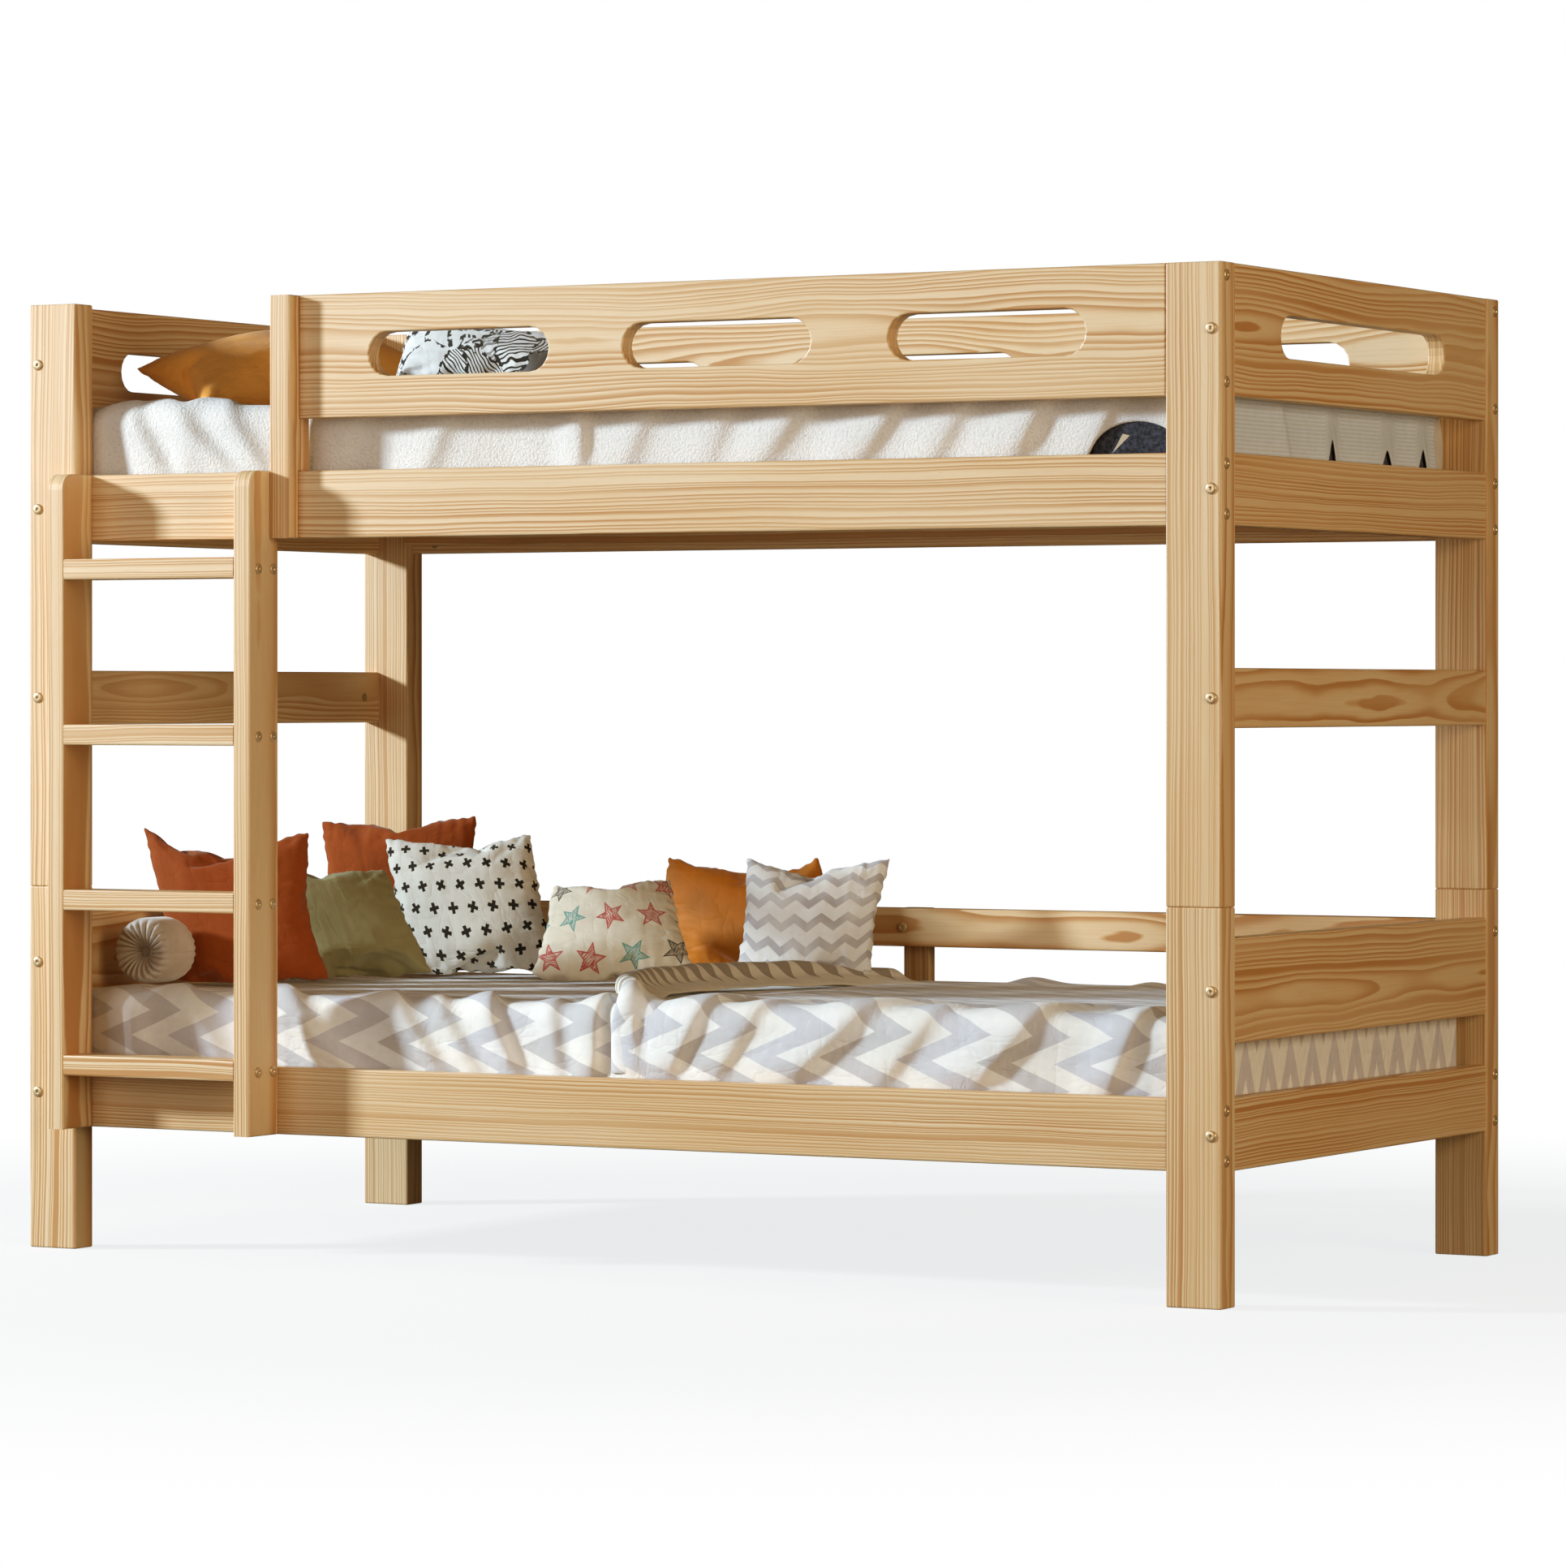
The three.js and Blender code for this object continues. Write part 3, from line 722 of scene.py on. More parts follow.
def clothBase(name, threads, useUv, roughness=0.85, sheen=0.25):
    material, tree, shader = newMaterial(name, Roughness=roughness, Sheen_Weight=sheen, Sheen_Roughness=0.45,
                                         Specular_IOR_Level=0.25)
    coordinate = put(tree, "ShaderNodeTexCoord").outputs["UV" if useUv else "Object"]
    weave = useGroup(tree, weaveGroup, {"Vector": coordinate, "Threads": float(threads)})
    creases = useGroup(tree, creaseGroup, {"Vector": coordinate, "Size": 9.0})
    folds = put(tree, "ShaderNodeBump", {"Strength": 0.55, "Distance": 0.004, "Height": creases["Height"]})
    threadsBump = put(tree, "ShaderNodeBump", {
        "Strength": 0.35, "Distance": 0.0006, "Height": weave["Height"], "Normal": folds.outputs[0]})
    tree.links.new(threadsBump.outputs[0], shader.inputs["Normal"])
    return material, tree, shader, coordinate, weave["Shade"]


def shadeInto(tree, shader, color, shade):
    grey = put(tree, "ShaderNodeCombineColor", {0: shade, 1: shade, 2: shade}).outputs[0]
    tree.links.new(blendColor(tree, 1.0, color, grey, "MULTIPLY"), shader.inputs["Base Color"])


def weaveMaterial(name, code, threads=700, useUv=True, sheen=0.25, roughness=0.85, vary=None):
    material, tree, shader, place, shade = clothBase(name, threads, useUv, roughness, sheen)
    cloud = noiseAt(tree, place, 9.0, 2.0, 0.5).outputs["Fac"]
    color = blendColor(tree, step(tree, cloud, 0.35, 0.7, 0.0, 0.5), tint(code), tint(vary or code))
    shadeInto(tree, shader, color, shade)
    return material


def triangleWave(tree, value, period):
    part = calc(tree, "FRACT", calc(tree, "DIVIDE", value, period))
    return calc(tree, "MULTIPLY", calc(tree, "ABSOLUTE", calc(tree, "SUBTRACT", part, 0.5)), 2.0)


def zigzagMask(tree, place, period, swing, pitch, fill, swap=False, edge=0.03):
    # 1 inside the zigzag bands, which run along V, or along U with swap
    split = put(tree, "ShaderNodeSeparateXYZ", {0: place}).outputs
    along, across = (split[0], split[1]) if swap else (split[1], split[0])
    moved = calc(tree, "MULTIPLY_ADD", triangleWave(tree, along, period), swing, across)
    part = calc(tree, "FRACT", calc(tree, "DIVIDE", moved, pitch))
    rise = step(tree, part, 0.0, edge)
    return calc(tree, "MULTIPLY", rise, step(tree, part, fill + edge, fill)), moved


quiltLooks = {"white": "fbfaf8", "cream": "f8f4ec", "grey": "dad8dc", "taupe": "cfc9c2", "pitch": 0.130,
              "swing": 0.096, "period": 0.078}
# the turned edge's ground and teeth: the lining's print, darkened and warmed as painted shade
liningShadeLooks = {"ground": "efe7d6", "teeth": "aca196", "tooth": 0.036, "crestAt": 0.046, "reach": 0.060}


def quiltMaterial(name):
    material, tree, shader, place, shade = clothBase(name, 620, True, 0.9, 0.2)
    pitch = quiltLooks["pitch"]
    bands, moved = zigzagMask(tree, place, quiltLooks["period"], quiltLooks["swing"], pitch, 0.47)
    number = calc(tree, "FLOOR", calc(tree, "DIVIDE", moved, pitch))
    odd = calc(tree, "FLOORED_MODULO", number, 2.0)
    ground = blendColor(tree, calc(tree, "MULTIPLY", odd, 0.75), tint(quiltLooks["white"]),
                        tint(quiltLooks["cream"]))
    ink = blendColor(tree, calc(tree, "MULTIPLY", odd, 0.45), tint(quiltLooks["grey"]),
                     tint(quiltLooks["taupe"]))
    shadeInto(tree, shader, blendColor(tree, bands, ground, ink), shade)
    return material


def shadedLiningMaterial(name):
    # a row of teeth along the turned edge, and the quilt's own print where it hangs; on the turned part the
    # beige ground and taupe teeth are the lining's print toned darker and warmer as painted shade
    material, tree, shader, place, shade = clothBase(name, 620, True, 0.9, 0.2)
    split = put(tree, "ShaderNodeSeparateXYZ", {0: place}).outputs
    part = calc(tree, "FRACT", calc(tree, "DIVIDE", split[1], liningShadeLooks["tooth"]))
    slope = calc(tree, "ABSOLUTE", calc(tree, "MULTIPLY_ADD", part, 2.0, -1.0))
    away = calc(tree, "ABSOLUTE", calc(tree, "SUBTRACT", split[0], liningShadeLooks["crestAt"]))
    reach = calc(tree, "SUBTRACT", 0.95, calc(tree, "DIVIDE", away, liningShadeLooks["reach"]))
    teeth = step(tree, calc(tree, "SUBTRACT", reach, slope), 0.0, 0.06)
    turned = blendColor(tree, teeth, tint(liningShadeLooks["ground"]), tint(liningShadeLooks["teeth"]))
    bands = zigzagMask(tree, place, quiltLooks["period"], 0.05, 0.11, 0.45)[0]
    hanging = blendColor(tree, bands, tint(quiltLooks["white"]), tint(quiltLooks["grey"]))
    color = blendColor(tree, step(tree, split[1], -0.02, 0.005), hanging, turned)
    shadeInto(tree, shader, color, shade)
    return material


def zigzagMaterial(name):
    material, tree, shader, place, shade = clothBase(name, 620, True)
    bands = zigzagMask(tree, place, 0.042, 0.013, 0.031, 0.40, swap=True)[0]
    soft = step(tree, noiseAt(tree, place, 14.0).outputs["Fac"], 0.3, 0.7, 0.45, 0.95)
    color = blendColor(tree, calc(tree, "MULTIPLY", bands, soft), tint("fbfaf7"), tint("bebbc0"))
    shadeInto(tree, shader, color, shade)
    return material


def cellNodes(tree, place, size, stagger=True):
    # splits a cloth into cells; gives the point inside the cell and three random numbers for it
    split = put(tree, "ShaderNodeSeparateXYZ", {0: place}).outputs
    u, v = calc(tree, "DIVIDE", split[0], size), calc(tree, "DIVIDE", split[1], size)
    row = calc(tree, "FLOOR", v)
    if stagger:
        u = calc(tree, "MULTIPLY_ADD", calc(tree, "FLOORED_MODULO", row, 2.0), 0.5, u)
    column = calc(tree, "FLOOR", u)
    seed = put(tree, "ShaderNodeCombineXYZ", {0: column, 1: row, 2: 3.7}).outputs[0]
    draw = put(tree, "ShaderNodeTexWhiteNoise", {"Vector": seed}).outputs["Color"]
    draws = put(tree, "ShaderNodeSeparateColor", {0: draw}).outputs
    x = calc(tree, "SUBTRACT", calc(tree, "SUBTRACT", u, column), 0.5)
    y = calc(tree, "SUBTRACT", calc(tree, "SUBTRACT", v, row), 0.5)
    return x, y, draws


def plusMaterial(name):
    material, tree, shader, place, shade = clothBase(name, 620, True)
    x, y, draws = cellNodes(tree, place, 0.0325)
    angle = calc(tree, "MULTIPLY", calc(tree, "SUBTRACT", draws[0], 0.5), 1.1)
    spin = put(tree, "ShaderNodeVectorRotate", {
        "Vector": put(tree, "ShaderNodeCombineXYZ", {0: x, 1: y}).outputs[0], "Angle": angle},
        rotation_type="Z_AXIS").outputs[0]
    turned = put(tree, "ShaderNodeSeparateXYZ", {0: spin}).outputs
    wobble = calc(tree, "MULTIPLY", noiseAt(tree, place, 260.0).outputs["Fac"], 0.05)
    ax = calc(tree, "ADD", calc(tree, "ABSOLUTE", turned[0]), wobble)
    ay = calc(tree, "ADD", calc(tree, "ABSOLUTE", turned[1]), wobble)
    thin = step(tree, calc(tree, "MINIMUM", ax, ay), 0.118, 0.10)
    short = step(tree, calc(tree, "MAXIMUM", ax, ay), 0.29, 0.27)
    color = blendColor(tree, calc(tree, "MULTIPLY", thin, short), tint("e2ddd2"), tint("1c1b1d"))
    shadeInto(tree, shader, color, shade)
    return material


def starMaterial(name):
    material, tree, shader, place, shade = clothBase(name, 620, True)
    x, y, draws = cellNodes(tree, place, 0.066)
    turn = calc(tree, "MULTIPLY", draws[0], math.tau)
    angle = calc(tree, "ADD", calc(tree, "ARCTAN2", y, x), turn)
    fifth = math.tau / 5
    around = calc(tree, "FLOORED_MODULO", angle, fifth)
    fold = calc(tree, "ABSOLUTE", calc(tree, "SUBTRACT", around, fifth / 2))
    far = calc(tree, "SQRT", calc(tree, "MULTIPLY_ADD", x, x, calc(tree, "MULTIPLY", y, y)))
    qx = calc(tree, "MULTIPLY", far, calc(tree, "COSINE", fold))
    qy = calc(tree, "MULTIPLY", far, calc(tree, "SINE", fold))
    size, waist = 0.40, 0.17
    tipX, tipY = size * math.cos(fifth / 2), size * math.sin(fifth / 2)
    # signed distance from the edge that joins a waist point to a tip
    edge = calc(tree, "SUBTRACT", calc(tree, "MULTIPLY", qy, tipX - waist),
                calc(tree, "MULTIPLY", calc(tree, "SUBTRACT", qx, waist), tipY))
    inside = step(tree, edge, 0.0, 0.003)
    rim = step(tree, edge, 0.012, 0.006)
    spun = put(tree, "ShaderNodeVectorRotate", {"Vector": place, "Angle": turn}, rotation_type="Z_AXIS")
    spin = spun.outputs[0]
    strokes = noiseAt(tree, spin, 1.0, 2.0, 0.5, (90.0, 900.0, 1.0)).outputs["Fac"]
    hatch = calc(tree, "MAXIMUM", step(tree, strokes, 0.44, 0.54, 0.15, 0.95), rim)
    red, teal, dark = tint("b8404a"), tint("5d9a93"), tint("4b4b4e")
    color = blendColor(tree, step(tree, draws[1], 0.40, 0.41), red, teal)
    color = blendColor(tree, step(tree, draws[1], 0.68, 0.69), color, dark)
    color = blendColor(tree, calc(tree, "MULTIPLY", inside, hatch), tint("e0d4bf"), color)
    shadeInto(tree, shader, color, shade)
    return material


def leafPrintMaterial(name):
    # black line print of crossing blades on white
    material, tree, shader, place, shade = clothBase(name, 620, True)
    warp = noiseAt(tree, place, 14.0, 2.0, 0.5).outputs["Color"]
    bent = calcVector(tree, "ADD", place, calcVector(tree, "MULTIPLY", warp, (0.06, 0.06, 0.0)))
    cells = put(tree, "ShaderNodeTexVoronoi", {"Vector": bent, "Scale": 17.0}, feature="DISTANCE_TO_EDGE")
    tone = put(tree, "ShaderNodeTexVoronoi", {"Vector": bent, "Scale": 17.0}).outputs["Color"]
    pick = put(tree, "ShaderNodeSeparateColor", {0: tone}).outputs
    turn = calc(tree, "MULTIPLY", pick[0], math.tau)
    spun = put(tree, "ShaderNodeVectorRotate", {"Vector": bent, "Angle": turn}, rotation_type="Z_AXIS")
    spin = spun.outputs[0]
    waves = put(tree, "ShaderNodeTexWave", {"Vector": spin, "Scale": 48.0, "Distortion": 1.5})
    stripes = waves.outputs["Fac"]
    hatched = calc(tree, "MULTIPLY", step(tree, stripes, 0.62, 0.72), step(tree, pick[1], 0.76, 0.78))
    split = put(tree, "ShaderNodeSeparateXYZ", {0: spin}).outputs
    column = calc(tree, "PINGPONG", calc(tree, "ABSOLUTE", split[0]), 0.0085)
    row = calc(tree, "PINGPONG", calc(tree, "ABSOLUTE", split[1]), 0.0055)
    bars = calc(tree, "MULTIPLY", step(tree, column, 0.0034, 0.0040), step(tree, row, 0.0022, 0.0026))
    barred = calc(tree, "MULTIPLY", bars, calc(tree, "MULTIPLY", step(tree, pick[1], 0.42, 0.44),
                                               step(tree, pick[1], 0.78, 0.76)))
    dashes = step(tree, noiseAt(tree, place, 90.0, 1.0).outputs["Fac"], 0.46, 0.52)
    outlines = calc(tree, "MULTIPLY", step(tree, cells.outputs["Distance"], 0.055, 0.035), dashes)
    solid = calc(tree, "MULTIPLY", step(tree, pick[1], 0.09, 0.06), 0.8)
    mask = calc(tree, "MAXIMUM", calc(tree, "MAXIMUM", hatched, solid),
                calc(tree, "MAXIMUM", barred, outlines))
    color = blendColor(tree, mask, tint("f8f6f3"), tint("2a2a2e"))
    shadeInto(tree, shader, color, shade)
    return material


def terryMaterial(name):
    material, tree, shader = newMaterial(name, Roughness=0.95, Sheen_Weight=0.35, Specular_IOR_Level=0.2)
    place = put(tree, "ShaderNodeTexCoord").outputs["UV"]
    loops = put(tree, "ShaderNodeTexVoronoi", {"Vector": place, "Scale": 260.0}).outputs["Distance"]
    fluff = noiseAt(tree, place, 420.0, 3.0, 0.65).outputs["Fac"]
    height = calc(tree, "ADD", calc(tree, "MULTIPLY", loops, -0.8), fluff)
    # darker beige in the low hollows between the loops: painted shade in the hollows
    pitShade = step(tree, calc(tree, "MULTIPLY", loops, fluff), 0.22, 0.5, 0.0, 0.32)
    cloud = noiseAt(tree, place, 6.0, 2.0, 0.5).outputs["Fac"]
    color = blendColor(tree, step(tree, cloud, 0.3, 0.7, 0.0, 0.5), tint("f4f2ef"), tint("e9e5e2"))
    color = blendColor(tree, pitShade, color, tint("cdc3ba"))
    tree.links.new(color, shader.inputs["Base Color"])
    addBump(tree, shader, height, 0.6, 0.0022)
    return material


def ribMaterial(name, code):
    material, tree, shader, place, shade = clothBase(name, 620, True)
    split = put(tree, "ShaderNodeSeparateXYZ", {0: place}).outputs
    rib = triangleWave(tree, split[0], 0.006)
    color = blendColor(tree, step(tree, rib, 0.2, 0.8, 0.0, 0.35), tint(code), tint("c3c2b8"))
    shadeInto(tree, shader, color, shade)
    addBump(tree, shader, rib, 0.6, 0.0012)
    return material


# ---- mattresses ----
def navyMaterial(name):
    # a mottled navy cloth with one pale appliqued wedge near the front corner
    material, tree, shader, place, shade = clothBase(name, 520, True, 0.9, 0.5)
    mottle = noiseAt(tree, place, 160.0, 4.0, 0.7).outputs["Fac"]
    ground = blendColor(tree, step(tree, mottle, 0.35, 0.65), tint("1b2137"), tint("4a5169"))
    split = put(tree, "ShaderNodeSeparateXYZ", {0: place}).outputs
    side, rise = calc(tree, "SUBTRACT", split[0], 0.034), calc(tree, "SUBTRACT", split[1], 0.012)
    left = step(tree, calc(tree, "MULTIPLY_ADD", rise, -0.62, side), 0.0, 0.0006)
    right = step(tree, calc(tree, "SUBTRACT", calc(tree, "MULTIPLY", rise, 1.15), side), 0.0, 0.0006)
    top = step(tree, calc(tree, "MULTIPLY_ADD", side, 0.25, rise), 0.034, 0.0335)
    wedge = calc(tree, "MULTIPLY", calc(tree, "MULTIPLY", left, right), top)
    shadeInto(tree, shader, blendColor(tree, wedge, ground, tint("d8c6ae")), shade)
    return material


mattressLooks = {"cornerRadius": 0.05, "edgeRadius": 0.018, "piping": 0.0038, "bulge": 0.004}


def buildMattress(bunk):
    low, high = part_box(bunk + "_mattress")
    inset, bulge = Vector((0.005, 0.005, 0.003)), mattressLooks["bulge"]
    low, high = low + inset, high - inset
    edge = mattressLooks["edgeRadius"]
    profile = []  # (inward, height)
    for n in range(5):
        angle = math.pi / 2 * n / 4
        profile.append((edge - edge * math.sin(angle), low.z + edge - edge * math.cos(angle)))
    for n in range(1, 8):
        share = n / 8
        rise = (high.z - low.z - 2 * edge) * share
        profile.append((-bulge * math.sin(share * math.pi), low.z + edge + rise))
    for n in range(5):
        angle = math.pi / 2 * n / 4
        profile.append((edge - edge * math.cos(angle), high.z - edge + edge * math.sin(angle)))
    points, faces, uvs = [], [], []
    rows = [outline(low + Vector((i, i, 0)), high - Vector((i, i, 0)), mattressLooks["cornerRadius"] - i)
            for i, z in profile]
    count = len(rows[0])
    lengths = [0.0]
    for n in range(count):
        lengths.append(lengths[-1] + (rows[0][(n + 1) % count] - rows[0][n]).length)
    for z, row in zip([z for i, z in profile], rows):
        for n, p in enumerate(row):
            pucker = 0.0015 * math.sin(lengths[n] * 90) * math.sin(math.pi * (z - low.z) / (high.z - low.z))
            out = (p - (low + high) / 2).normalized()
            points.append((p.x + out.x * pucker, p.y + out.y * pucker, z))
            uvs.append((lengths[n], z))
    for r in range(len(profile) - 1):
        for n in range(count):
            n2 = (n + 1) % count
            faces.append((r * count + n, r * count + n2, (r + 1) * count + n2, (r + 1) * count + n))
    faces.append(tuple(reversed(range(count))))
    faces.append(tuple(range((len(profile) - 1) * count, len(profile) * count)))
    mesh = meshFrom(bunk + "_mattress_cover", points, faces, uvs)
    body = bunk + "_bedding"
    cover = linkObject(bunk + "_mattress_cover", mesh, body, [bunk + "_mattress"],
                       materials["ticking"])
    for label, z in (("lower", low.z + edge * 0.55), ("upper", high.z - edge * 0.55)):
        path = [Vector((p.x, p.y, z)) for p in outline(low, high, mattressLooks["cornerRadius"])]
        points, faces = sweep(path, mattressLooks["piping"], 8, True)
        mesh = meshFrom(f"{bunk}_mattress_{label}_piping", points, faces)
        linkObject(f"{bunk}_mattress_{label}_piping", mesh, body,
                   material=materials["piping"])


# ---- cushions: two panels sewn round the edge and blown up as cloth ----
# top and bottom are widths; slant leans the cushion along the bed; the bows round its top and bottom edges
cushionLooks = {
    "terracotta_cushion_front": {"top": 0.300, "bottom": 0.262, "height": 0.238, "slant": -0.25, "roll": 0,
                                 "turn": 15, "lean": 8, "shift": -0.016, "topBow": 0.010, "fill": 0.75},
    "terracotta_cushion_back": {"top": 0.272, "bottom": 0.290, "height": 0.252, "slant": -0.05, "roll": -1,
                                "turn": 16, "lean": 8, "shift": -0.012, "topBow": 0.006, "fill": 0.7},
    "olive_cushion": {"top": 0.240, "bottom": 0.256, "height": 0.172, "slant": -0.42, "roll": -2,
                      "turn": 30, "lean": 20, "shift": -0.020, "topBow": 0.022, "fill": 0.7},
    "plus_cushion": {"top": 0.252, "bottom": 0.290, "height": 0.228, "slant": -0.20, "roll": -2,
                     "turn": 14, "lean": 14, "shift": -0.022, "topBow": 0.012, "fill": 0.7},
    "star_cushion": {"top": 0.200, "bottom": 0.268, "height": 0.184, "slant": -0.12, "roll": -5,
                     "turn": 14, "lean": 42, "shift": -0.012, "topBow": 0.002, "fill": 0.7},
    "mustard_cushion": {"top": 0.262, "bottom": 0.232, "height": 0.188, "slant": -0.08, "roll": 0,
                        "turn": 8, "lean": 6, "shift": 0.004, "topBow": -0.004, "sideBow": 0.022,
                        "fill": 0.8},
    "zigzag_cushion": {"top": 0.240, "bottom": 0.222, "height": 0.186, "slant": 0.10, "roll": -1,
                       "turn": 18, "lean": 12, "shift": -0.008, "topBow": 0.004, "fill": 0.8},
    "ochre_cushion": {"top": 0.410, "bottom": 0.410, "height": 0.262, "slant": 0, "roll": -28, "turn": 33,
                      "lean": 74, "shift": -0.006, "topBow": 0, "bottomBow": 0, "deep": 0.130, "sink": 0.016,
                      "fill": 0.9},
    "patterned_pillow": {"top": 0.370, "bottom": 0.362, "height": 0.162, "slant": -0.34, "roll": 8, "turn": 4,
                         "lean": 50, "shift": 0, "topBow": 0.014, "bottomBow": 0.010, "deep": 0.104,
                         "sink": 0.006, "fill": 0.9},
}
cushionShape = {"cells": 36, "pressure": 5.0, "frames": 22, "startThickness": 0.016, "bottomBow": 0.042,
                "deep": 0.082, "pucker": 0.0020, "puckerReach": 0.034}


def sewnPanels(name, width, height):
    # front and back panels that share their border, in X and Z, with the cloth's own UV
    cells = cushionShape["cells"]
    points, faces, uvs, index = [], [], [], {}
    for side in (-1, 1):
        for r in range(cells + 1):
            for c in range(cells + 1):
                border = r in (0, cells) or c in (0, cells)
                key = (0 if border else side, r, c)
                if key in index:
                    continue
                u, v = c / cells, r / cells
                crown = math.sin(math.pi * u) * math.sin(math.pi * v)
                ripple = noise.noise(Vector((u * 5, v * 5, side * 3 + width * 40))) * 0.006 * crown
                index[key] = len(points)
                puff = side * (cushionShape["startThickness"] * crown ** 0.5 + ripple)
                points.append(((u - 0.5) * width, puff, (v - 0.5) * height))
                uvs.append((u * width, v * height))
    for side in (-1, 1):
        def at(r, c):
            return index.get((side, r, c), index.get((0, r, c)))
        for r in range(cells):
            for c in range(cells):
                face = (at(r, c), at(r, c + 1), at(r + 1, c + 1), at(r + 1, c))
                faces.append(face if side < 0 else tuple(reversed(face)))
    return meshFrom(name, points, faces, uvs)


def inflate(piece, pressure, frames):
    cloth = piece.modifiers.new("cloth", "CLOTH")
    settings = cloth.settings
    settings.quality = 6
    settings.mass = 0.2
    settings.tension_stiffness = settings.compression_stiffness = 12
    settings.shear_stiffness = 4
    settings.bending_stiffness = 0.03
    settings.use_pressure = True
    settings.uniform_pressure_force = pressure
    settings.effector_weights.gravity = 0
    cloth.collision_settings.use_collision = False
    cloth.point_cache.frame_start, cloth.point_cache.frame_end = 1, frames
    for frameNumber in range(1, frames + 1):
        scene.frame_set(frameNumber)
    applyModifiers(piece)
    scene.frame_set(1)


def puckered(local, normal, uMid, vMid, halfWide, halfHigh):
    # small gathers that run in from the seams
    reach = cushionShape["puckerReach"]
    fromSides = math.exp(-(halfWide - abs(uMid)) / reach)
    fromEnds = math.exp(-(halfHigh - abs(vMid)) / reach)
    gathers = noise.noise(Vector((uMid * 12, vMid * 95, 3.1))) * fromSides
    gathers += noise.noise(Vector((uMid * 95, vMid * 12, 7.7))) * fromEnds
    return local + normal * gathers * cushionShape["pucker"] * 2


def buildCushion(name, looks):
    low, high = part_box(name)
    height = looks["height"]
    wide = (looks["top"] + looks["bottom"]) / 2
    piece = bpy.data.objects.new(name + "_cover", sewnPanels(name + "_cover", wide * 1.06, height * 1.06))
    scene.collection.objects.link(piece)
    inflate(piece, cushionShape["pressure"] * looks["fill"], cushionShape["frames"])
    smoother = piece.modifiers.new("smoother", "SUBSURF")
    smoother.levels = smoother.render_levels = 1
    applyModifiers(piece)
    mesh = piece.data
    spans = []
    for axis in range(3):
        values = [v.co[axis] for v in mesh.vertices]
        spans.append((min(values), max(values)))
    middle = Vector([(a + b) / 2 for a, b in spans])
    half = Vector([(b - a) / 2 for a, b in spans])
    deep = looks.get("deep", cushionShape["deep"])
    thin = deep / 2 / half.y
    turned = (Matrix.Rotation(math.radians(looks["turn"]), 3, "Z")
              @ Matrix.Rotation(math.radians(-looks["lean"]), 3, "X")
              @ Matrix.Rotation(math.radians(looks["roll"]), 3, "Y"))
    normals = [v.normal.copy() for v in mesh.vertices]
    bottomBow = looks.get("bottomBow", cushionShape["bottomBow"])
    for v, normal in zip(mesh.vertices, normals):
        local = puckered(v.co - middle, normal, v.co.x - middle.x, v.co.z - middle.z, half.x, half.z)
        across, rise = local.x / half.x, local.z / half.z / 2 + 0.5
        span = looks["bottom"] + (looks["top"] - looks["bottom"]) * rise
        belly = max(0.0, 1 - across ** 2)
        up = (rise - 0.5) * height + belly * (looks["topBow"] * rise ** 2 - bottomBow * (1 - rise) ** 2)
        side = across * span / 2 + across ** 3 * looks.get("sideBow", 0) * (1 - (2 * rise - 1) ** 2)
        v.co = turned @ Vector((side + looks["slant"] * (rise - 0.5) * height, local.y * thin, up))
    base = sorted(v.co.z for v in mesh.vertices)[len(mesh.vertices) // 60]
    rest = low.z + 0.0015
    place = Vector(((low.x + high.x) / 2 + looks["shift"], (low.y + high.y) / 2,
                    rest - base - looks.get("sink", 0)))
    for v in mesh.vertices:
        v.co += place
        if v.co.z < rest:
            v.co.z = rest + (v.co.z - rest) * 0.06
    mesh.update()
    mesh.materials.clear()
    mesh.materials.append(materials[looks["cloth"]])
    for face in mesh.polygons:
        face.use_smooth = True
    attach(piece, looks["body"])
    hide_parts(name)


def buildCushions():
    cloths = {"terracotta_cushion_front": "terracotta", "terracotta_cushion_back": "terracotta",
              "olive_cushion": "olive", "plus_cushion": "plus", "star_cushion": "star",
              "mustard_cushion": "mustard", "zigzag_cushion": "zigzag", "ochre_cushion": "ochre",
              "patterned_pillow": "leafPrint"}
    for name, looks in cushionLooks.items():
        looks["cloth"] = cloths[name]
        looks["body"] = "upper_bedding" if name in ("ochre_cushion", "patterned_pillow") else "lower_bedding"
        buildCushion(name, looks)
    print("cushions filled")


# ---- bolster: a short round cushion, its ends gathered to a button ----
bolsterLooks = {"pleats": 23, "around": 184, "pleatDepth": 0.0075, "button": 0.0095}


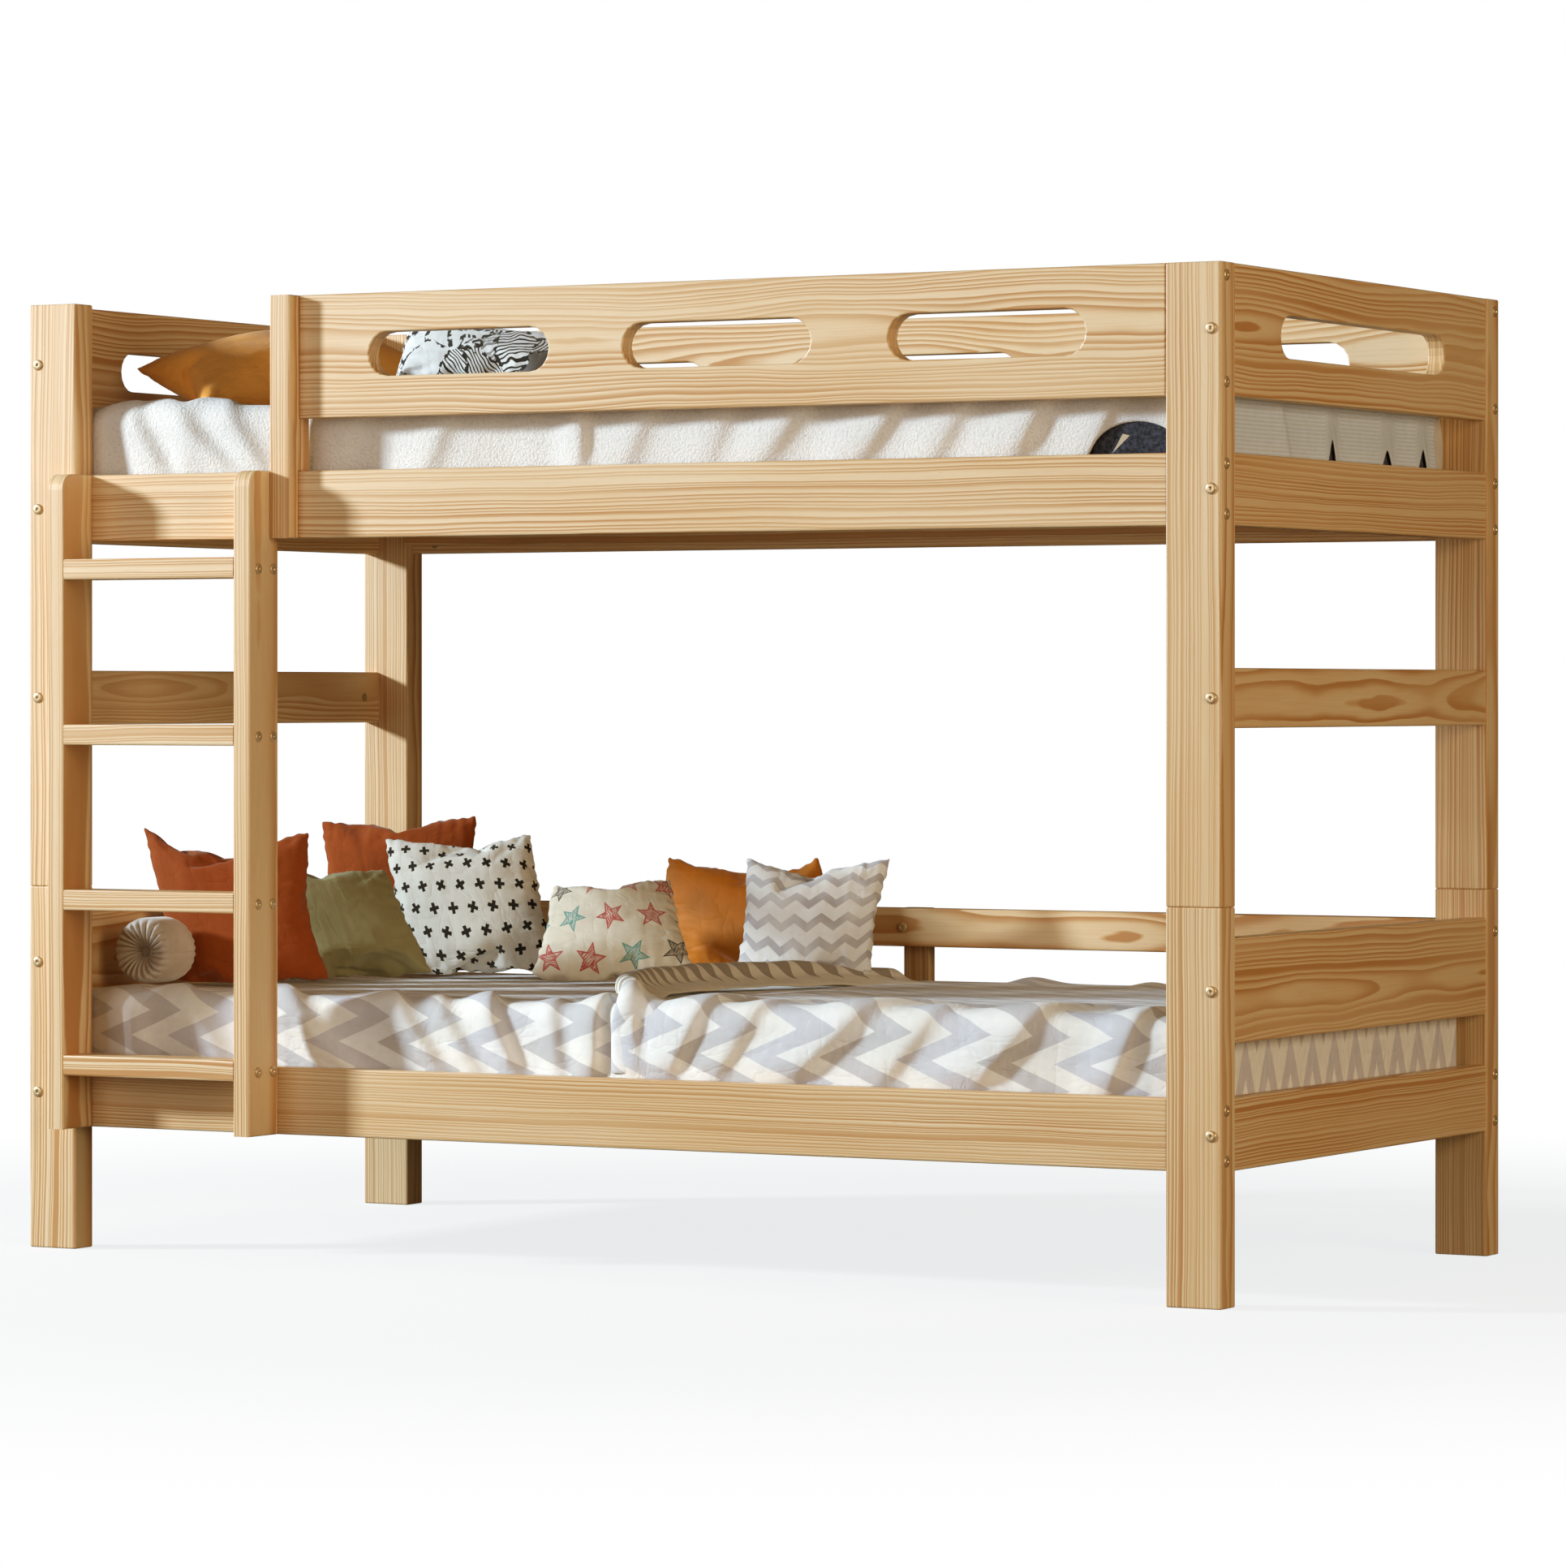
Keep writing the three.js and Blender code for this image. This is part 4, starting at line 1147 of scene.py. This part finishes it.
def buildBolster():
    low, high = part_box("bolster")
    centre = (low + high) / 2
    radius, half = (high.x - low.x) / 2 - 0.001, (high.y - low.y) / 2 - 0.001
    profile = []  # (distance from the axis, place along it), from the front button to the back one
    for n in range(9):
        share = n / 8
        dimple = 0.020 * (1 - share) ** 2.2 + 0.004 * (1 - share)
        profile.append((radius * (0.06 + 0.72 * share), -half + dimple))
    for n in range(1, 9):
        angle = math.pi / 2 * n / 8
        profile.append((radius * (0.78 + 0.22 * math.sin(angle)), -half + 0.024 * (1 - math.cos(angle))))
    for n in range(1, 5):
        profile.append((radius, -half + 0.024 + (half - 0.024) * n / 4))
    profile += [(r, -y) for r, y in reversed(profile[:-1])]
    around, points, faces, uvs = bolsterLooks["around"], [], [], []
    for r, y in profile:
        inner = 1 - r / radius
        for k in range(around):
            angle = math.tau * k / around
            swirl = angle + 0.25 * inner + 0.03 * math.sin(angle * 3)
            crease = abs(math.sin(swirl * bolsterLooks["pleats"] / 2 + 0.6 * math.sin(angle * 2))) ** 0.7
            depth = bolsterLooks["pleatDepth"] * (0.25 + 1.2 * math.sin(math.pi * min(1, inner * 1.15)))
            fall = (crease - 0.6) * depth * (1 if inner > 0.02 else 0.25)
            sag = 1 - 0.05 * smooth((-math.cos(angle - math.pi / 2) - 0.5) * 2)
            direction = 1 if y > 0 else -1
            points.append((centre.x + r * math.cos(angle), centre.y + y + direction * fall * 0.9,
                           max(low.z + 0.001, centre.z + r * math.sin(angle) * sag)))
            uvs.append((angle * radius, y + (radius - r) * direction))
    for n in range(len(profile) - 1):
        for k in range(around):
            k2 = (k + 1) % around
            faces.append((n * around + k, (n + 1) * around + k, (n + 1) * around + k2, n * around + k2))
    last = (len(profile) - 1) * around
    faces += [tuple(range(around)), tuple(reversed(range(last, last + around)))]
    mesh = meshFrom("bolster_cover", points, faces, uvs)
    piece = linkObject("bolster_cover", mesh, "lower_bedding", ["bolster"],
                       materials["velvet"])
    points, faces = [], []
    for side in (-1, 1):
        base, rings, sides = len(points), 5, 20
        for n in range(rings + 1):
            angle = math.pi / 2 * n / rings
            for k in range(sides):
                spin = math.tau * k / sides
                reach = bolsterLooks["button"] * math.cos(angle) if n < rings else 0.0002
                points.append((centre.x + reach * math.cos(spin),
                               centre.y + side * (half - 0.020 + 0.006 * math.sin(angle)),
                               centre.z + reach * math.sin(spin)))
        for n in range(rings):
            for k in range(sides):
                k2 = (k + 1) % sides
                face = (base + n * sides + k, base + n * sides + k2, base + (n + 1) * sides + k2,
                        base + (n + 1) * sides + k)
                faces.append(face if side < 0 else tuple(reversed(face)))
        ring = tuple(range(base, base + sides))
        tip = tuple(range(base + rings * sides, base + (rings + 1) * sides))
        faces += [tuple(reversed(ring)), tip] if side < 0 else [ring, tuple(reversed(tip))]
    mesh = meshFrom("bolster_buttons", points, faces)
    linkObject("bolster_buttons", mesh, "lower_bedding", material=materials["velvetPlain"])
    print("bolster gathered")


# ---- bedding: one cloth over each mattress, hanging at the front, at the left end and, where rightEnd is set, at the right end ----
# a fold is (place along the bed at the mattress edge, place at the hem, height, width), in metres;
# a hem rise is (side it is on, place along that side, half width, height)
quiltCloth = {
    "node": "lower_quilt", "mattress": "lower_mattress", "cell": 0.0115, "thick": 0.005, "round": 0.024,
    "folds": [(0.150, 0.200, 0.012, 0.05), (0.246, 0.352, 0.020, 0.055), (0.436, 0.588, 0.030, 0.060),
              (0.640, 0.750, 0.022, 0.045), (0.720, 0.812, 0.014, 0.035), (0.810, 0.880, 0.024, 0.035),
              (0.930, 0.955, 0.012, 0.030), (1.014, 1.012, 0.030, 0.030), (1.075, 1.092, 0.026, 0.032),
              (1.200, 1.128, 0.028, 0.050), (1.300, 1.215, 0.016, 0.040), (1.480, 1.322, 0.030, 0.070),
              (1.600, 1.490, 0.014, 0.050), (1.762, 1.632, 0.032, 0.070), (1.925, 1.866, 0.026, 0.040)],
    "bumps": [(1.330, 0.885, 0.016, 0.030), (1.536, 0.895, 0.010, 0.026), (1.20, 0.42, 0.008, 0.06)],
    "ripple": 0.0035, "layerFrom": 1.085, "layerRise": 0.006, "hemRises": [], "rightEnd": True,
}
throwCloth = {
    "node": "upper_throw", "mattress": "upper_mattress", "cell": 0.0115, "thick": 0.006, "round": 0.026,
    "folds": [(0.146, 0.231, 0.017, 0.057), (0.215, 0.370, 0.020, 0.063), (0.324, 0.423, 0.015, 0.052),
              (0.600, 0.528, 0.012, 0.057), (0.766, 0.707, 0.011, 0.057), (0.985, 0.992, 0.016, 0.034),
              (1.120, 1.060, 0.010, 0.057), (1.252, 1.210, 0.009, 0.057), (1.390, 1.290, 0.015, 0.069),
              (1.550, 1.455, 0.017, 0.063), (1.661, 1.581, 0.012, 0.057), (1.790, 1.711, 0.019, 0.063),
              (1.900, 1.835, 0.011, 0.046)],
    "bumps": [(0.270, 0.085, 0.012, 0.023)],
    "ripple": 0.004, "layerFrom": 9.0, "layerRise": 0.0, "rightEnd": False,
    "hemRises": [("front", 1.922, 0.080, 0.062)],
}


def wrap(distance, radius):
    # how far outwards and down a cloth lies, this far past a round edge, and its slope there
    if distance <= 0:
        return distance, 0.0, 0.0
    bend = radius * math.pi / 2
    if distance < bend:
        angle = distance / radius
        return radius * math.sin(angle), radius * (1 - math.cos(angle)), angle
    return radius, radius + distance - bend, math.pi / 2


def foldAt(looks, x, past, drop):
    # folds stand out of the hanging part, lean over on one side and run a little way in over the mattress
    height, slide = 0.0, 0.0
    share = max(-0.7, past / drop)
    for top, hem, peak, width in looks["folds"]:
        away = x - (top + (hem - top) * share)
        rise = math.exp(-abs(away / (width * 0.30)) ** 1.6) if away > 0 else math.exp(-(away / width) ** 2)
        reach = smooth((past + 0.15) / 0.19)
        height = max(height, peak * rise * reach) + 0.25 * min(height, peak * rise * reach)
        slide += peak * rise * reach * (0.45 if away > -width * 0.5 else 0.2)
    return height, slide


def bumpAt(looks, x, y):
    total = 0.0
    for middleX, middleY, height, width in looks["bumps"]:
        total += height * math.exp(-((x - middleX) / width) ** 2 - ((y - middleY) / (width * 1.6)) ** 2)
    return total


def hemScale(looks, side, place, drop):
    # 1 where the hem hangs full length, less where it is caught up
    rise = 0.0
    for where, middle, half, height in looks["hemRises"]:
        if where == side:
            rise = max(rise, height * math.sqrt(max(0.0, 1 - ((place - middle) / half) ** 2)))
    return 1 - rise / drop


def clothObject(name, points, faces, uvs, thick, material, body):
    piece = bpy.data.objects.new(name, meshFrom(name, points, faces, uvs))
    scene.collection.objects.link(piece)
    shell = piece.modifiers.new("shell", "SOLIDIFY")
    shell.thickness, shell.offset = thick, -1
    finer = piece.modifiers.new("finer", "SUBSURF")
    finer.levels = finer.render_levels = 1
    applyModifiers(piece)
    piece.data.materials.clear()
    piece.data.materials.append(material)
    for face in piece.data.polygons:
        face.use_smooth = True
    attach(piece, body)
    return piece


def gridFaces(index, rows, columns):
    faces = []
    for r in range(rows):
        for c in range(columns):
            keys = [(r, c), (r, c + 1), (r + 1, c + 1), (r + 1, c)]
            if all(k in index for k in keys):
                faces.append(tuple(index[k] for k in keys))
    return faces


def buildCover(looks, material, body):
    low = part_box(looks["node"])[0]
    bedLow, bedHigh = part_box(looks["mattress"])
    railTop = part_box(looks["mattress"].replace("mattress", "front_rail"))[1].z
    radius, cell = looks["round"], looks["cell"]
    left, right = bedLow.x + radius - 0.004, bedHigh.x - radius + 0.004
    front, back = bedLow.y + radius - 0.004, bedHigh.y - 0.012
    top = bedHigh.z + 0.004
    drop = top - low.z + radius * (math.pi / 2 - 1)
    length = right - left + (2 if looks["rightEnd"] else 1) * drop
    columns, rows = round(length / cell), round((back - front + drop) / cell)
    points, uvs, index = [], [], {}
    for r in range(rows + 1):
        v = -drop + (back - front + drop) * r / rows
        for c in range(columns + 1):
            u = -drop + length * c / columns
            pastX = max(-u, u - (right - left))
            pastY = -v
            if pastX > 0.012 and pastY > 0.012:
                continue
            along = left + min(max(u, 0), right - left) - bedLeft
            if pastY > 0:
                pastY *= hemScale(looks, "front", along, drop)
            outX, downX, angleX = wrap(pastX, radius)
            outY, downY, angleY = wrap(pastY, radius)
            x = left - outX if u < 0 else (right + outX if u > right - left else left + u)
            y = front - outY if v < 0 else front + v
            lift, slide = foldAt(looks, along, pastY, drop) if pastX < 0.02 else (0.0, 0.0)
            if pastX > 0:
                lift += 0.004 * (1 + math.sin(y * 31 + 1.3)) * smooth(pastX / 0.06)
            edgeRoom = smooth((0.30 - (y - front)) / 0.25) * 0.8 + 0.2
            ripple = noise.noise(Vector((along * 6, y * 9, 1.7)))
            ripple += 0.5 * noise.noise(Vector((along * 17, y * 12, 4.2)))
            lift += looks["ripple"] * (0.5 + 0.5 * ripple) * edgeRoom * 2
            lift += looks["layerRise"] * smooth((along - looks["layerFrom"]) / 0.012)
            lift += bumpAt(looks, along, y - bedFront)
            nx = math.sin(angleX) * (-1 if u < 0 else 1)
            ny, nz = -math.sin(angleY), math.cos(angleX) * math.cos(angleY)
            z = top - downX - downY
            # behind the rail there is less room than above it
            room = 0.017 + 0.015 * smooth((z - railTop) / 0.03) if pastY > radius else 0.03
            lift = min(lift, 0.006) if pastX > radius else room * math.tanh(lift / room)
            slide *= smooth((z - railTop + 0.01) / 0.04) * smooth((right - x) / 0.05)
            index[(r, c)] = len(points)
            points.append(Vector((x + nx * lift + slide, y + ny * lift, z + nz * lift)))
            uvs.append((u, v))
    faces = gridFaces(index, rows, columns)
    piece = clothObject(looks["node"] + "_cloth", points, faces, uvs, looks["thick"], material, body)
    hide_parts(looks["node"])


# ---- upper bunk's foot end: a ribbed blanket and, below it, a navy one ----
footCloth = {"inward": 0.22, "from": 0.022, "to": 0.800, "cell": 0.0085, "thick": 0.0035, "round": 0.03,
             "notches": [(0.405, 0.020, 0.056), (0.610, 0.024, 0.044), (0.742, 0.022, 0.050)],
             "twist": (0.235, 0.030, 0.016)}
navyCloth = {"thick": 0.002, "cell": 0.02}


def buildFootBlanket():
    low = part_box("upper_throw")[0]
    bedLow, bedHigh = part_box("upper_mattress")
    radius = footCloth["round"]
    right, front = bedHigh.x - radius + 0.006, bedLow.y
    top = bedHigh.z + 0.0125
    drop = top - low.z + radius * (math.pi / 2 - 1)
    length, wide = footCloth["inward"] + drop, footCloth["to"] - footCloth["from"]
    columns, rows = round(length / footCloth["cell"]), round(wide / footCloth["cell"])
    middle, spread, peak = footCloth["twist"]
    points, uvs, index = [], [], {}
    for r in range(rows + 1):
        v = footCloth["from"] + wide * r / rows
        rise = max([height * max(0.0, 1 - abs(v - place) / half) ** 0.6
                    for place, half, height in footCloth["notches"]])
        for c in range(columns + 1):
            u = -footCloth["inward"] + length * c / columns
            past = u * (1 - rise / drop) if u > 0 else u
            out, down, angle = wrap(past, radius)
            share = max(0.0, past) / drop
            lift = 0.0016 * (1 + math.sin(v * 38)) * share
            for place, half, height in footCloth["notches"]:
                off = (v - place + 0.03 * (1 - share)) / (half * 1.6)
                lift += 0.004 * math.exp(-off ** 2) * smooth(share * 2)
            slope = v - middle - 0.055 * (share - 0.6)
            steepness = spread * (0.25 if slope > 0 else 0.9)
            lift += peak * 0.35 * math.exp(-abs(slope / steepness) ** 1.5) * smooth(share * 1.6)
            wave = 0.004 * math.sin(u * 60) * smooth((v - wide * 0.9) / 0.08)
            lift = min(lift, 0.009)
            index[(r, c)] = len(points)
            points.append(Vector((right + out + math.sin(angle) * lift, front + v + wave,
                                  top - down + math.cos(angle) * lift)))
            uvs.append((u, v))
    piece = clothObject("upper_foot_blanket", points, gridFaces(index, rows, columns), uvs,
                        footCloth["thick"], materials["rib"], "upper_bedding")


def buildNavyCloth():
    # the navy cloth shows at the foot end and in front, where the covers above it are caught up
    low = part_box("upper_throw")[0]
    bedLow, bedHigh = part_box("upper_mattress")
    bottom, top = low.z + 0.004, bedHigh.z - 0.022
    start = Vector((bedHigh.x - 0.190, bedLow.y - 0.0025, 0))
    corner = Vector((bedHigh.x - 0.004, bedLow.y - 0.0025, 0))
    turn = Vector((bedHigh.x + 0.001, bedLow.y + 0.008, 0))
    end = Vector((bedHigh.x + 0.001, bedLow.y + 0.79, 0))
    path = [start, corner, turn, end]
    travel, line = 0.0, []
    for a, b in zip(path, path[1:]):
        steps = max(1, round((b - a).length / navyCloth["cell"]))
        for n in range(steps):
            line.append((a.lerp(b, n / steps), travel + (b - a).length * n / steps))
        travel += (b - a).length
    line.append((end, travel))
    points, uvs, index = [], [], {}
    rows = round((top - bottom) / navyCloth["cell"])
    for r in range(rows + 1):
        z = bottom + (top - bottom) * r / rows
        for c, (place, reach) in enumerate(line):
            index[(r, c)] = len(points)
            ripple = 0.0008 * math.sin(reach * 60 + z * 30)
            points.append(Vector((place.x + ripple, place.y - abs(ripple), z)))
            uvs.append((reach, z - bottom))
    piece = clothObject("upper_navy_cloth", points, gridFaces(index, rows, len(line) - 1), uvs,
                        navyCloth["thick"], materials["navy"], "upper_bedding")


# ---- the quilt's near edge, rolled back across the bed so that its lining shows ----
turnedEdge = {"line": [(0.059, 1.080), (0.646, 0.962), (0.842, 1.100)], "crest": 0.040, "flap": 0.046,
              "cell": 0.010, "thick": 0.004, "hangTo": 0.118}


def edgeLine(y):
    # where the rolled edge lies along the bed, this far back from the front
    total = 0.0
    for n, (ownY, ownX) in enumerate(turnedEdge["line"]):
        weight = 1.0
        for m, other in enumerate(turnedEdge["line"]):
            if m != n:
                weight *= (y - other[0]) / (ownY - other[0])
        total += ownX * weight
    return total


def buildTurnedEdge():
    bedLow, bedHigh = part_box("lower_mattress")
    radius = quiltCloth["round"]
    front, back = bedLow.y + radius - 0.004, bedFront + turnedEdge["line"][-1][0]
    top = bedHigh.z + 0.0085
    drop = turnedEdge["hangTo"]
    crest, flap = turnedEdge["crest"], turnedEdge["flap"]
    section = []  # (along the bed, above the quilt)
    for n in range(11):
        angle = math.pi * (1.25 - 1.05 * n / 10)
        section.append((crest * 0.5 * math.cos(angle), crest * 0.5 + crest * 0.5 * math.sin(angle)))
    for n in range(1, 9):
        share = n / 8
        sag = 0.002 * math.sin(share * 5)
        section.append((crest * 0.45 + flap * share, crest * (0.62 - 0.56 * share) - sag))
    travel = [0.0]
    for a, b in zip(section, section[1:]):
        travel.append(travel[-1] + math.dist(a, b))
    length = back - front + drop
    rows = round(length / turnedEdge["cell"])
    points, uvs, index = [], [], {}
    for r in range(rows + 1):
        v = -drop + length * r / rows
        out, down, angle = wrap(-v, radius)
        y = front - out if v < 0 else front + v
        hang, far = smooth(-v / 0.05), smooth((y - bedFront - 0.70) / 0.14)
        for n, (dx, dz) in enumerate(section):
            wobble = noise.noise(Vector((n * 0.35, y * 16, 2.2))) * 0.004
            lift = max(0.0005, dz * (1 - 0.55 * hang) * (1 - 0.4 * far) + wobble)
            x = bedLeft + edgeLine(max(y - bedFront, 0.059)) + dx * (1 + 0.25 * hang) - 0.010 * hang
            index[(r, n)] = len(points)
            points.append(Vector((x, y - math.sin(angle) * lift, top - down + math.cos(angle) * lift)))
            uvs.append((travel[n], v))
    piece = clothObject("quilt_turned_edge", points, gridFaces(index, rows, len(section) - 1), uvs,
                        turnedEdge["thick"], materials["lining"], "lower_bedding")


def buildFloor():
    bpy.ops.mesh.primitive_circle_add(vertices=96, radius=studio["floorRadius"], fill_type="NGON",
                                      location=(0, 0, -0.0005))
    floor = bpy.context.object
    floor.name = "studioFloor"
    material, tree, shader = newMaterial("studioFloor", Roughness=0.9, Specular_IOR_Level=0.1)
    place = put(tree, "ShaderNodeTexCoord").outputs["Object"]
    far = calcVector(tree, "LENGTH", place)
    grain = noiseAt(tree, place, 3.0, 3.0, 0.5).outputs["Fac"]
    tone = blendColor(tree, step(tree, grain, 0.3, 0.7), (0.93, 0.93, 0.925, 1), (0.95, 0.95, 0.948, 1))
    tree.links.new(tone, shader.inputs["Base Color"])
    bounce = put(tree, "ShaderNodeBsdfDiffuse", {0: studio["floorBounce"]})
    glow = put(tree, "ShaderNodeEmission", {0: (1, 1, 1, 1), 1: 1.0})
    faded = step(tree, far, studio["fadeFrom"], studio["fadeTo"], 0.8, 1.0)
    seen = put(tree, "ShaderNodeMixShader", {0: faded, 1: shader.outputs[0], 2: glow.outputs[0]})
    path = put(tree, "ShaderNodeLightPath")
    mix = put(tree, "ShaderNodeMixShader", {0: path.outputs["Is Camera Ray"], 1: bounce.outputs[0],
                                            2: seen.outputs[0]})
    tree.links.new(mix.outputs[0], tree.nodes["Material Output"].inputs[0])
    floor.data.materials.append(material)


materials = {
    "ticking": weaveMaterial("mattressTicking", "ddd8cd", 500, vary="cfc9bc"),
    "piping": weaveMaterial("mattressPiping", "b9b2a4", 800, useUv=False),
    "quilt": quiltMaterial("chevronQuilt"),
    "lining": shadedLiningMaterial("quiltLiningShaded"),
    "throw": terryMaterial("whiteThrow"),
    "terracotta": weaveMaterial("terracottaCotton", "a24b1b", 640, vary="a04f1c"),
    "olive": weaveMaterial("oliveCotton", "a39c78", 640, vary="88835a"),
    "mustard": weaveMaterial("mustardSatin", "eb8915", 900, roughness=0.45, sheen=0.6, vary="a96a1c"),
    "ochre": weaveMaterial("ochreCotton", "ffb45c", 640, vary="ee9e42"),
    "velvet": weaveMaterial("greyVelvet", "ded3c8", 900, sheen=0.8, vary="c2b6ab"),
    "velvetPlain": weaveMaterial("greyVelvetButton", "b0a59a", 900, useUv=False, sheen=0.8),
    "zigzag": zigzagMaterial("zigzagPrint"),
    "plus": plusMaterial("plusPrint"),
    "star": starMaterial("starPrint"),
    "leafPrint": leafPrintMaterial("leafPrint"),
    "rib": ribMaterial("ribbedBlanket", "e2eefc"),
    "navy": navyMaterial("navyCotton"),
}

buildStudio()
finishTimbers()
print("timbers finished")
buildFixings()
buildSlats()
for bunk in ("lower", "upper"):
    buildMattress(bunk)
buildCushions()
buildBolster()
buildCover(quiltCloth, materials["quilt"], "lower_bedding")
buildTurnedEdge()
buildCover(throwCloth, materials["throw"], "upper_bedding")
buildFootBlanket()
buildNavyCloth()
print("bedding laid")
pinSteel = metalMaterial("pinSteel", "b9b6ae", 0.3)
for name in nodes:
    if slotOf[name] == "steel_pin":
        nodes[name].data.materials.clear()
        nodes[name].data.materials.append(pinSteel)
buildFloor()
